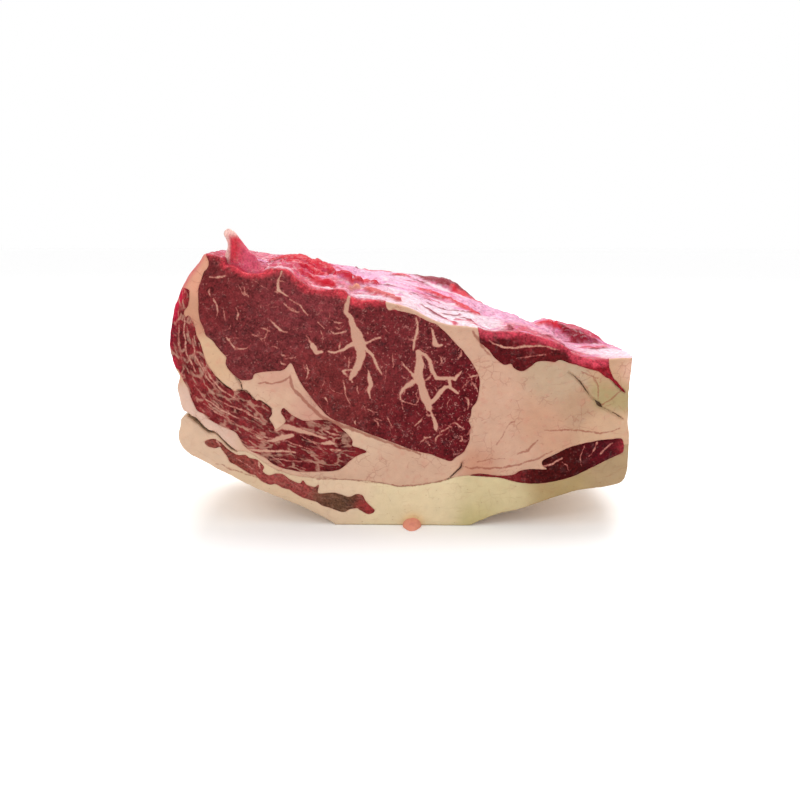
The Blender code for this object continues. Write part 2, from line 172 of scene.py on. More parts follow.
# Where the cap of hard fat meets the softer fat of the seams, from the crease to beyond the right flank
FAT_SEAM: Points = (
    (-82, 38), (-78.5, 38.6), (-74, 36.8), (-69.5, 33.5), (-63, 29.4), (-55.5, 26.5), (-45.5, 24.8),
    (-40.5, 25), (-30.5, 24), (-20.5, 23.5), (-10.5, 22.5), (-0.5, 20.5), (9.5, 21.5), (17.5, 23),
    (24, 24.5), (34.5, 26.5), (72, 27), (98.5, 39), (109, 42.5), (118, 43.5),
)
OUTSIDE: Points = ((118, -12), (-128, -12), (-128, 56.5))

# Marbling of the eye: branches as places and widths
MARBLING: tuple[Branch, ...] = (
    ((-25, 115, 1.9), (-26, 111.5, 2.4), (-26.5, 108, 2.4), (-24, 105, 2.9), (-22.5, 100.5, 4.3),
     (-21, 96, 5.8), (-19.5, 92, 6.2), (-19, 87, 4.3), (-21, 81.5, 3.8), (-23.5, 77.5, 3.4),
     (-25, 75, 1.4)),
    ((-21.5, 93.5, 2.9), (-25, 91.5, 2.4), (-28.5, 89.5, 1.9), (-32, 88.5, 1.4), (-35, 89, 1)),
    ((-18, 92, 2.4), (-15, 88.5, 1.9), (-13, 85.5, 1.4), (-11.5, 82, 1.4), (-9, 77.5, 1)),
    ((-24, 80, 1.6), (-28, 79.5, 1.2), (-26, 76.5, 1)),
    ((-19, 92, 1.8), (-15.5, 93.5, 1.4), (-13, 95, 1.4), (-9.5, 96, 1)),
    ((-24.5, 75.5, 1), (-23.5, 73.5, 0.7)),
    ((-42.5, 92, 2.9), (-41, 88.5, 2.4), (-38.5, 89, 1.9)),
    ((-42.5, 91.5, 1.4), (-45.5, 97, 0.7)),
    ((-34, 99, 0.7), (-32, 97.5, 1), (-28.5, 98, 1), (-26.5, 99, 0.7)),
    ((-40, 103, 0.6), (-36.5, 100, 0.6)),
    ((7.5, 105.5, 1), (8, 102, 1.4), (8, 98, 1.9), (7, 95, 1.4), (6, 89.5, 1)),
    ((8.5, 88.5, 3.4), (9, 85, 3.8), (9, 81, 4.3), (8.5, 77, 4.8), (10, 73, 3.8), (11, 69, 4.3),
     (12.5, 65, 4.8), (14, 61, 3.8), (15, 59, 1.4), (16.5, 54.5, 2.4), (17.5, 51.5, 2.9), (18, 49.5, 1)),
    ((6.5, 77, 1.9), (4, 79.5, 1.4), (1.5, 82.5, 1.2), (0.5, 84, 0.7)),
    ((6.5, 74.5, 2.9), (3.5, 72.5, 2.4), (1, 70.5, 1.9), (-0.5, 68, 1.4), (-0.5, 65.5, 1), (2, 64, 0.6),
     (8.5, 62.5, 0.5)),
    ((9.5, 89, 1.4), (12, 87, 1.7), (13.5, 85, 1.9), (15, 82, 2.4), (15.5, 79, 2.4), (17.5, 76.5, 2.4),
     (20.5, 76, 2.2), (26.5, 76, 1.9), (29.5, 79.5, 1)),
    ((14.5, 64, 2.9), (17, 66, 2.6), (19, 69, 2.4), (21, 71, 2.2), (23.5, 71.5, 1.9), (25.5, 70.5, 1.9),
     (28, 68.5, 1.9)),
    ((24, 75.5, 2.4), (24, 71, 1.9)),
    ((14.5, 100, 1), (15.5, 96.5, 1.9), (16.5, 93, 2.4), (18, 91.5, 1.9), (19.5, 92, 1)),
    ((-16, 79.5, 1), (-15, 76, 2.4), (-14.5, 72.5, 2.9), (-15.5, 69, 1.9), (-15, 65.5, 1)),
    ((-57, 127.5, 1.4), (-58, 124, 1), (-58.5, 121, 1.4), (-58.5, 118.5, 2.4), (-56, 116.5, 1.4),
     (-54, 115.5, 1)),
    ((-60.5, 118, 1), (-59, 117, 1.4)),
    ((-53, 114, 0.7), (-50.5, 112.5, 1), (-48, 111, 1), (-46, 108.5, 1), (-44.5, 107, 0.6)),
    ((-56.5, 112.5, 0.6), (-54.5, 110.5, 0.8), (-49.5, 108, 0.6)),
    ((-63, 104, 0.7), (-60.5, 101.5, 1.4), (-58, 99.5, 1), (-55, 98, 0.6)),
    ((-84.5, 96, 0.7), (-83, 94, 1.1), (-81, 91, 1.1), (-80, 89.5, 0.7)),
    ((-83, 95, 0.6), (-78.5, 95.5, 0.6)),
    ((-79.5, 110, 0.6), (-78.5, 107.5, 0.9), (-79, 104.5, 0.6)),
    ((-74.5, 120, 0.6), (-74.5, 117, 0.9), (-73, 115, 0.6)),
    ((-91, 124.5, 0.7), (-88, 124.5, 1), (-83.5, 125, 0.6)),
    ((-27.5, 68.5, 0.6), (-26, 65.5, 1), (-24.5, 63, 0.6)),
    ((-45.5, 82.5, 0.6), (-45.5, 79, 1), (-46.5, 75, 0.6)),
    ((-21.5, 71.5, 0.7), (-21, 68, 0.7)),
    ((-16.5, 60.5, 0.7), (-11.5, 59, 0.7)),
    ((9.5, 43, 0.7), (12, 45.5, 1.1), (14.5, 46.5, 0.7)),
    ((11.5, 46, 0.7), (14.5, 42.5, 0.7)),
    ((20.5, 49.5, 0.7), (24, 52, 0.7)),
    ((27, 53, 0.7), (31.5, 50.5, 0.7)),
    ((35, 73.5, 0.7), (37, 71, 1), (38, 69, 0.7)),
)
# Boxes of the eye strewn with small random veins: how many, the box's corners and their main direction
FINE_VEINS = (
    (30, (-96.0, 84.0), (-50.0, 126.0), -48.0),
    (28, (-60.0, 60.0), (-18.0, 112.0), -58.0),
    (40, (-30.0, 44.0), (14.0, 104.0), -72.0),
    (36, (4.0, 38.0), (38.0, 96.0), 62.0),
)
# Pale streaks in the smaller muscles
CAP_STREAKS: tuple[Branch, ...] = (
    ((-62, 49.5, 2.4), (-59, 51.5, 3), (-55, 50.8, 3), (-49.5, 49, 2.4), (-44, 47.5, 1.6), (-36, 45, 0.9)),
    ((-67, 43.5, 0.9), (-63, 44, 2.2), (-58.5, 46, 3), (-54, 47, 2)),
    ((-38, 50, 0.5), (-35, 48, 1), (-30, 46.5, 0.6)),
    ((-39, 42.5, 1.2), (-35, 43, 2.6), (-32.5, 42.5, 1.2)),
    ((-78.5, 39.5, 1.2), (-70, 38.5, 1.8), (-60, 39, 1.5), (-52.5, 38, 0.8)),
    ((-73, 46.5, 0.8), (-70, 45.5, 1.4), (-67, 44, 0.8)),
    ((-35, 39.5, 1), (-30, 39.5, 1)),
    ((-104.5, 108, 0.8), (-105, 98, 1), (-104, 88, 0.9), (-100, 79, 0.7)),
    ((-107, 102, 0.5), (-108, 93, 0.9), (-106.5, 84, 0.6)),
    ((-101, 95, 0.5), (-99.5, 86, 0.9), (-95.5, 77, 0.8), (-90, 70, 0.6)),
    ((-97, 84, 0.6), (-93, 76, 1), (-87, 69, 0.9), (-80, 64.5, 0.6)),
    ((-101, 72, 0.6), (-96, 65, 1), (-88, 59, 1.1), (-79, 55, 0.7)),
    ((-97, 62.5, 0.5), (-90, 57.5, 0.9), (-82, 53, 0.6)),
    ((-92, 66, 0.4), (-84, 61.5, 0.8), (-75, 58.5, 0.6)),
    ((-80, 60, 0.5), (-72, 56, 0.8), (-66, 53, 0.5)),
    ((-76, 50.5, 0.5), (-67, 46, 0.9), (-57, 43.5, 0.6)),
    ((-61, 45.5, 0.5), (-51, 42, 0.8), (-43, 38.5, 0.5)),
    ((-64, 35, 0.5), (-55, 33.5, 0.8), (-44, 33, 0.5)),
    ((-50, 47, 0.4), (-43, 43, 0.7), (-37, 38, 0.5)),
)
RIB_STREAKS: tuple[Branch, ...] = (
    ((43, 94.5, 0.7), (46.5, 92, 1.1), (49.5, 91, 1.1), (55, 91, 1.3), (60, 92, 1.1), (67, 92, 1.1),
     (72, 91, 0.9), (77, 90, 0.6)),
    ((56, 85.5, 0.4), (63, 87, 0.7), (70, 87.5, 0.4)),
)
LIP_STREAKS: tuple[Branch, ...] = (
    ((91, 42.5, 0.4), (88.5, 36, 0.8), (89.5, 31.5, 0.4)),
    ((98.5, 38.5, 0.9), (101, 41, 0.9), (104, 43.5, 0.7)),
    ((80, 34, 0.4), (82.5, 32.5, 0.8), (83.5, 29.5, 0.4)),
    ((71, 31.5, 1.2), (76, 33.5, 1), (80, 36, 0.5)),
    ((93, 37, 0.4), (96, 41, 0.7), (97, 44, 0.5)),
)
BACK_STREAKS: tuple[Branch, ...] = (
    ((-91.5, 44, 1.2), (-90.5, 42.5, 1.3), (-90, 41.5, 0.8)),
    ((-71, 34, 1.2), (-70.5, 31.5, 1.4), (-70, 29.5, 0.8)),
    ((-60, 26, 0.5), (-54, 21.5, 0.7), (-47, 17, 0.5)),
    ((-82, 35, 0.4), (-76, 31, 0.7), (-70, 27, 0.5)),
)
# Dark cracks and bloody lines in the fat of the cut
CRACKS: tuple[Branch, ...] = (
    ((81.5, 79, 0.1), (84.5, 77, 0.3), (87.5, 74, 0.6), (90.5, 69.8, 0.5), (92.5, 67.2, 0.1), (95, 65, 0.3),
     (96.3, 63.6, 1.7), (97.3, 62.6, 1.5), (98.5, 61.6, 0.2), (102.5, 59.6, 0.2), (106, 57.6, 0.5),
     (108.5, 56, 0.2)),
    ((103, 74.5, 0.3), (105.5, 72, 0.5), (109, 69, 0.4)),
    ((24, 24.5, 0.4), (27, 27.5, 0.7), (30, 30.5, 0.8), (30.5, 33, 0.4)),
    ((-80.5, 76, 0.4), (-78.5, 73, 0.5), (-78, 70, 0.5)),
    ((-90.5, 75.5, 0.4), (-87, 72, 0.5), (-83.5, 69.5, 0.4)),
    ((-80, 69.5, 0.4), (-76, 69, 0.5), (-72, 64.5, 0.4)),
    ((-69.5, 64, 0.4), (-64, 60, 0.5)),
)
# Faint pink or brown lines in the fat of the cut
SEAMS: tuple[Branch, ...] = (
    ((-70, 73, 0.8), (-66.5, 73.5, 1), (-63, 72.5, 0.9), (-59, 73.5, 0.8), (-54.5, 76, 1), (-54, 73.5, 1.3),
     (-52.5, 70.5, 1.3), (-49.5, 66.5, 1.4), (-45.5, 62.5, 1.5), (-42, 58.5, 1.5), (-38, 55, 1.7),
     (-32.5, 53, 1.8), (-27.5, 51, 1.5), (-21, 48.8, 1.3), (-15, 46.8, 1.2), (-8, 44, 1.1), (-0.5, 41.2, 1),
     (10, 37.6, 0.8)),
    ((-45.5, 24.8, 0.3), (-30.5, 24, 0.5), (-20.5, 23.5, 0.5), (-10.5, 22.5, 0.5), (-0.5, 20.5, 0.5),
     (9.5, 21.5, 0.5), (17.5, 23, 0.5), (24, 24.5, 0.5)),
    ((30.5, 31, 0.4), (39.5, 30.5, 0.6), (49.5, 30.5, 0.7), (59.5, 32.5, 0.7), (69, 36, 0.6),
     (75, 39.5, 0.4)),
    ((71, 50, 0.4), (78.5, 50.5, 0.6), (88, 50.5, 0.6), (98, 48.5, 0.6), (104, 49.5, 0.5),
     (107.5, 51, 0.4)),
    ((47.5, 42.5, 0.5), (50, 47.5, 0.4), (52, 51.5, 0.4), (54, 54, 0.5), (56, 54.5, 0.4)),
    ((58, 37.5, 0.4), (63, 40, 0.9), (66, 42.5, 0.9), (68, 45, 0.3)),
    ((96, 66, 0.4), (96, 70.5, 0.5), (95.5, 74, 0.5), (93.5, 77.5, 0.3)),
    ((88, 79, 0.3), (92, 77.5, 0.5), (96, 76.5, 0.4)),
    ((38, 34, 0.3), (45, 35.5, 0.4), (52, 35, 0.3)),
    ((-92, 32, 0.3), (-80, 27.5, 0.4), (-68, 24, 0.3)),
    ((34.5, 99, 0.8), (37.5, 94.5, 1.1), (41, 89.5, 0.9), (44, 86.5, 0.4)),
    ((98, 63, 0.5), (103, 66.5, 0.6), (107, 70, 0.5)),
)
# The middle lines that the long muscles' fibres follow
CAP_SPINE: Points = (
    (-106, 118), (-107, 100), (-103, 80), (-92, 62), (-74, 50), (-55, 42), (-34, 36), (-14, 35),
)
BACK_SPINE: Points = ((-100, 42), (-80, 34), (-60, 23), (-40, 16), (-20, 11), (-8, 6))
RIB_SPINE: Points = ((36, 93), (56, 88), (80, 87), (100, 80), (112, 66))
LIP_SPINE: Points = ((30, 25), (56, 25), (76, 30), (95, 38), (115, 44))
FAT_SPINE: Points = ((-112, 52), (-96, 36), (-60, 20), (-20, 12), (30, 14), (70, 20), (118, 30))
SEAM_SPINE: Points = (
    (-92, 134), (-101, 116), (-98, 92), (-84, 74), (-56, 68), (-30, 44), (20, 30), (60, 52), (115, 64),
)


def smooth_step(value: np.ndarray, low: float, high: float) -> np.ndarray:
    """0 below low, 1 above high, with a smooth rise between."""
    t = np.clip((value - low) / (high - low), 0.0, 1.0)
    return t * t * (3.0 - 2.0 * t)


def bump(value: np.ndarray, centre: float | np.ndarray, width: float) -> np.ndarray:
    """A bell of height 1 about the centre."""
    return np.exp(-(((value - centre) / width) ** 2))


CUT_GAIN = 0.85  # base colour over look, in linear light, on the cut
TOP_GAIN = 0.62  # the same on the rib side, which the light from above strikes
GLOSS = 0.009  # what the wet surface's own reflection adds to a look
DARKEST = 0.003


def tone(red: int, green: int, blue: int, gain: float) -> Colour:
    """A base colour for a colour as it should look, by the screen's own curve.

    Args:
        red, green, blue: the look, as screen values from 0 to 255.
        gain: base colour over look, in linear light.

    Returns:
        The colour in linear light, less the gloss, times the gain.
    """
    shares = (red / 255.0, green / 255.0, blue / 255.0)
    linear = (c / 12.92 if c <= 0.04045 else ((c + 0.055) / 1.055) ** 2.4 for c in shares)
    return tuple(gain * max(DARKEST, c - GLOSS) for c in linear)


# For the hash of a lattice corner: factors of its three coordinates and of the seed
HASH_FACTORS = (374761393, 668265263, 1442695041, 1274126177)
WORD = 0xFFFFFFFF  # the largest number of 32 bits
OCTAVE_SHIFT = 17.3  # how far each octave's lattice is moved from the one before


@dataclass(frozen=True)
class Noise:
    """Smooth random heights between -1 and 1, the same on each run.

    The value at a place is that of the eight lattice corners round it, each a hash of its own whole
    coordinates, mixed by a fifth-degree ease along each axis. Octaves add finer copies, each half as wide
    and as high.
    """

    size: float
    seed: int
    octaves: int = 1

    def _corner(self, i: np.ndarray, j: np.ndarray, k: np.ndarray) -> np.ndarray:
        """The random value of each lattice corner.

        Args:
            i, j, k: the corner's whole coordinates.

        Returns:
            Values between -1 and 1.
        """
        a, b, c, last = HASH_FACTORS
        n = (i * a + j * b + k * c + self.seed * last) & WORD
        n = ((n ^ (n >> 13)) * last) & WORD
        return ((n ^ (n >> 16)) & WORD) / 2.0**31 - 1.0

    def _layer(self, places: list[np.ndarray]) -> np.ndarray:
        """One octave.

        Args:
            places: the three coordinates, in lattice units.

        Returns:
            Values between -1 and 1.
        """
        whole = [np.floor(p).astype(np.int64) for p in places]
        inside = [p - w for p, w in zip(places, whole)]
        ease = [t**3 * (t * (t * 6.0 - 15.0) + 10.0) for t in inside]
        total = np.zeros(places[0].shape)
        for corner in range(8):
            steps = [(corner >> axis) & 1 for axis in range(3)]
            weight = np.ones(places[0].shape)
            for step, t in zip(steps, ease):
                weight = weight * (t if step else 1.0 - t)
            total += weight * self._corner(*(w + step for w, step in zip(whole, steps)))
        return total

    def at(self, x: np.ndarray, y: np.ndarray, z: np.ndarray | float = 0.0) -> np.ndarray:
        """Heights at places in millimetres.

        Args:
            x, y, z: coordinates, arrays of one shape or numbers.

        Returns:
            Heights of the same shape.
        """
        x, y, z = np.broadcast_arrays(*(np.asarray(c, float) for c in (x, y, z)))
        total = np.zeros(x.shape)
        height = 1.0
        for octave in range(self.octaves):
            scale = 2.0**octave / self.size
            total += height * self._layer([c * scale + OCTAVE_SHIFT * (octave + 1) for c in (x, y, z)])
            height *= 0.5
        return total / (2.0 - 2.0 * height)


def spaced(line: np.ndarray, step: float) -> np.ndarray:
    """The same line with its points evenly spaced.

    Args:
        line: its points, one row each.
        step: about how far apart the new ones lie.

    Returns:
        The new points, both ends kept.
    """
    lengths = np.concatenate([[0.0], np.cumsum(np.linalg.norm(np.diff(line, axis=0), axis=1))])
    places = np.linspace(0.0, lengths[-1], max(2, round(lengths[-1] / step) + 1))
    return np.stack([np.interp(places, lengths, line[:, axis]) for axis in range(line.shape[1])], axis=1)


KNOT_STEPS = 8  # in how many steps a curve is worked out between two of its points
SPINE_STEP = 4.0  # length of the straight runs that stand for a spine


def curve_through(points: Points, step: float) -> np.ndarray:
    """Points along the Catmull-Rom curve through the given ones.

    Between two points the curve is the cubic whose slope at each is half the step from its neighbour before
    to its neighbour after.

    Args:
        points: the points it goes through.
        step: about how far apart the new ones lie.

    Returns:
        The new points, both ends kept.
    """
    knots = np.array(points, float)
    padded = np.vstack([2 * knots[0] - knots[1], knots, 2 * knots[-1] - knots[-2]])
    t = np.linspace(0.0, 1.0, KNOT_STEPS, endpoint=False)[None, :, None]
    a, b, c, d = (padded[i : len(padded) - 3 + i, None] for i in range(4))
    runs = 0.5 * (2 * b + (c - a) * t + (2 * a - 5 * b + 4 * c - d) * t**2 + (3 * b - a - 3 * c + d) * t**3)
    return spaced(np.vstack([runs.reshape(-1, knots.shape[1]), knots[-1:]]), step)


def height_at(edge: Points, x: np.ndarray) -> np.ndarray:
    """Height of an edge given as points, at x."""
    ordered = sorted(edge)
    return np.interp(x, [p[0] for p in ordered], [p[1] for p in ordered])


SLICE = 4096  # how many places are compared with all targets at once


def nearest(places: np.ndarray, targets: np.ndarray) -> tuple[np.ndarray, np.ndarray]:
    """The nearest target to each place, worked out in slices of places.

    Args:
        places, targets: points, one row each.

    Returns:
        The distance to the nearest target, and which target it is, for each place.
    """
    distance = np.empty(len(places))
    found = np.empty(len(places), np.int64)
    reach = np.sum(targets**2, axis=1)
    for start in range(0, len(places), SLICE):
        part = places[start : start + SLICE]
        square = np.sum(part**2, axis=1)[:, None] + reach[None] - 2.0 * part @ targets.T
        found[start : start + SLICE] = square.argmin(axis=1)
        distance[start : start + SLICE] = np.sqrt(np.maximum(square.min(axis=1), 0.0))
    return distance, found


def depth_in(places: np.ndarray, branches: tuple[Branch, ...]) -> np.ndarray:
    """How far inside tapering branches each place lies: half the width less the distance to the middle.

    Args:
        places: the places, one row each.
        branches: lines of points (x, z, width).

    Returns:
        One depth for each place, negative outside and never under FAR_OUT.
    """
    best = np.full(len(places), FAR_OUT)
    for branch in branches:
        rows = np.array(branch, float)
        for a, b in zip(rows, rows[1:]):
            along = b[:2] - a[:2]
            share = np.clip((places - a[:2]) @ along / max(1e-9, along @ along), 0.0, 1.0)
            off = np.linalg.norm(places - a[:2] - share[:, None] * along, axis=1)
            best = np.maximum(best, 0.5 * (a[2] + (b[2] - a[2]) * share) - off)
    return best


# Random branches: their widths at the four points over the full width, and how their directions spread
TAPER = (0.5, 1.0, 0.8, 0.35)
TURN_SPREAD = 32.0
BEND_SPREAD = 26.0


def seeded_branches(
    count: int,
    low: tuple[float, float],
    high: tuple[float, float],
    turn: float,
    seed: int,
    scale: float = 1.0,
) -> list[Branch]:
    """Short thin branches at random places of a box, each a bent line of four points that tapers.

    Args:
        count: how many.
        low, high: corners of the box.
        turn: the direction that most of them follow, in degrees from +X.
        seed: of the random numbers.
        scale: times that lengths and widths are multiplied.

    Returns:
        The branches.
    """
    random = np.random.default_rng(seed)
    start = random.uniform(low, high, (count, 2))
    heading = np.radians(turn + random.normal(0.0, TURN_SPREAD, count))
    bend = np.radians(random.normal(0.0, BEND_SPREAD, count))
    length = scale * random.uniform(1.0, 1.0 + random.uniform(0.4, 2.6, count))
    width = scale * (0.3 + 0.9 * random.uniform(0.0, 1.0, count) ** 2)
    branches = []
    for place, angle, curl, step, wide in zip(start, heading, bend, length, width):
        headings = angle + curl * np.arange(3)
        steps = step * np.stack([np.cos(headings), np.sin(headings)], axis=1)
        path = place + np.vstack([[0.0, 0.0], np.cumsum(steps, axis=0)])
        branches.append(tuple((x, z, wide * taper) for (x, z), taper in zip(path.tolist(), TAPER)))
    return branches


def along_spine(places: np.ndarray, spine: Points) -> np.ndarray:
    """Coordinates that follow a line.

    Args:
        places: the places, one row each.
        spine: the line's points.

    Returns:
        Distance along the line and distance to its left, one row for each place.
    """
    rows = curve_through(spine, SPINE_STEP)
    best = np.full(len(places), np.inf)
    found = np.zeros((len(places), 2))
    start = 0.0
    for a, b in zip(rows, rows[1:]):
        along = b - a
        length = float(np.linalg.norm(along))
        along = along / length
        share = np.clip((places - a) @ along, 0.0, length)
        apart = places - a - share[:, None] * along
        off = np.linalg.norm(apart, axis=1)
        side = apart @ np.array((-along[1], along[0]))
        closer = off < best
        best = np.where(closer, off, best)
        found[closer] = np.stack([start + share, np.copysign(off, side)], axis=1)[closer]
        start += length
    return found


@dataclass(frozen=True)
class Patch:
    """A colour that holds about a place.

    Attributes:
        x, z: the place on the cut, or on the rib side x and the distance behind the front cut.
        reach: how far the colour reaches.
        screen: the colour, as screen values.
    """

    x: float
    z: float
    reach: float
    screen: Screen


def patches(*rows: tuple[float, ...]) -> tuple[Patch, ...]:
    """Patches from rows of x, z, reach and the colour's red, green and blue."""
    return tuple(Patch(x, z, reach, (red, green, blue)) for x, z, reach, red, green, blue in rows)


FAR_WEIGHT = 1e-3  # a patch's weight far beyond its reach, so that every place has a colour


def blended(places: np.ndarray, patches: tuple[Patch, ...], gain: float) -> np.ndarray:
    """The mean of the patches' colours at each place, each weighted by how near it is for its reach.

    Args:
        places: the places, one row each.
        patches: the colours and where they hold.
        gain: base colour over look.

    Returns:
        One base colour for each place.
    """
    total = np.zeros((len(places), 3))
    weights = np.zeros(len(places))
    for patch in patches:
        square = ((places[:, 0] - patch.x) ** 2 + (places[:, 1] - patch.z) ** 2) / patch.reach**2
        weight = np.exp(-square) + FAR_WEIGHT / (1.0 + square)
        total += weight[:, None] * np.array(tone(*patch.screen, gain))
        weights += weight
    return total / weights[:, None]


@dataclass(frozen=True)
class Shred:
    """A raised, ragged strip or patch on the rib side.

    Attributes:
        branch: its middle line, as x, distance behind the cut and width.
        lift: how far it stands up.
        screen: its colour, as screen values.
    """

    branch: Branch
    lift: float
    screen: Screen

    def depth(self, over: np.ndarray) -> np.ndarray:
        """How far inside it each place (x, behind) lies, with a ragged edge."""
        x, behind = over.T
        return depth_in(over, (self.branch,)) + 1.7 * Noise(3.6, 45, 3).at(x, behind)


class Tissue(Enum):
    """What the section is made of. Where outlines overlap the higher value holds. Muscles start at EYE."""

    SEAM_FAT = 0
    FAT_CAP = 1
    EYE = 2
    CAP = 3
    BACK = 4
    RIB = 5
    LIP = 6


RAGGEDNESS = 0.16  # the most that an outline's points step sideways


def ragged(line: np.ndarray) -> np.ndarray:
    """The line with small steps sideways that depend only on the place, so that shared lines stay shared.

    Args:
        line: its points, one row each.

    Returns:
        The moved points. Those on the floor stay.
    """
    shift = [Noise(2.1, seed, 2).at(line[:, 0], line[:, 1]) for seed in (11, 12)]
    settled = smooth_step(line[:, 1], 0.3, 2.0)
    return line + RAGGEDNESS * settled[:, None] * np.stack(shift, axis=1)


KEY_STEP = 10_000_000  # more than any number that is put into a key
PARTNER_REACH = 0.01  # the most that the same border place may lie apart at the two cuts
KEY_SCALE = 1000.0  # keys tell places apart to a thousandth of a millimetre


def edge_keys(edges: np.ndarray) -> np.ndarray:
    """One number for each edge, whichever way it runs."""
    return edges.min(axis=1) * KEY_STEP + edges.max(axis=1)


def border(corners: np.ndarray) -> np.ndarray:
    """Edges that only one of the triangles has.

    Args:
        corners: three indices for each triangle.

    Returns:
        Two indices for each edge, in the order in which its triangle runs along it.
    """
    edges = np.concatenate([corners[:, [0, 1]], corners[:, [1, 2]], corners[:, [2, 0]]])
    _, first, count = np.unique(edge_keys(edges), return_index=True, return_counts=True)
    return edges[first[count == 1]]


class Sheet:
    """The section cut into triangles.

    Attributes:
        places: x and z of each corner.
        corners: three indices for each triangle, anticlockwise.
        tissue: the Tissue value of each triangle.
        skin: the edges on the roast's outside.
        outward: direction out of the skin at the place on it nearest to each corner.
        edge: distance of each corner from the skin.
    """

    def __init__(self, places: np.ndarray, corners: np.ndarray, tissue: np.ndarray) -> None:
        """Keep the triangles and work out what lies on the outside.

        Args:
            places, corners, tissue: as the attributes of these names.
        """
        self.places = places
        self.corners = corners
        self.tissue = tissue
        self.skin = border(corners)
        ends = places[self.skin]
        along = ends[:, 1] - ends[:, 0]
        normal = np.stack([along[:, 1], -along[:, 0]], axis=1)
        total = np.zeros_like(places)
        np.add.at(total, self.skin[:, 0], normal)
        np.add.at(total, self.skin[:, 1], normal)
        outward = total / np.maximum(np.linalg.norm(total, axis=1), 1e-9)[:, None]
        on_skin = np.unique(self.skin)
        self.outward = outward[on_skin[nearest(places, places[on_skin])[1]]]
        self.edge = nearest(places, samples(ends[:, 0], ends[:, 1]))[0]


def samples(a: np.ndarray, b: np.ndarray) -> np.ndarray:
    """Five points along each edge from a to b."""
    shares = np.linspace(0.0, 0.8, 5)[:, None, None]
    return (a + shares * (b - a)).reshape(-1, 2)


WELD = 1e-4  # how near two of an outline's points lie when they count as one
CORNER = -300.0  # x and z of a corner that the whole section lies beyond
SHAKE = 0.16  # the most that a lattice point moves along x or z, over the lattice's step


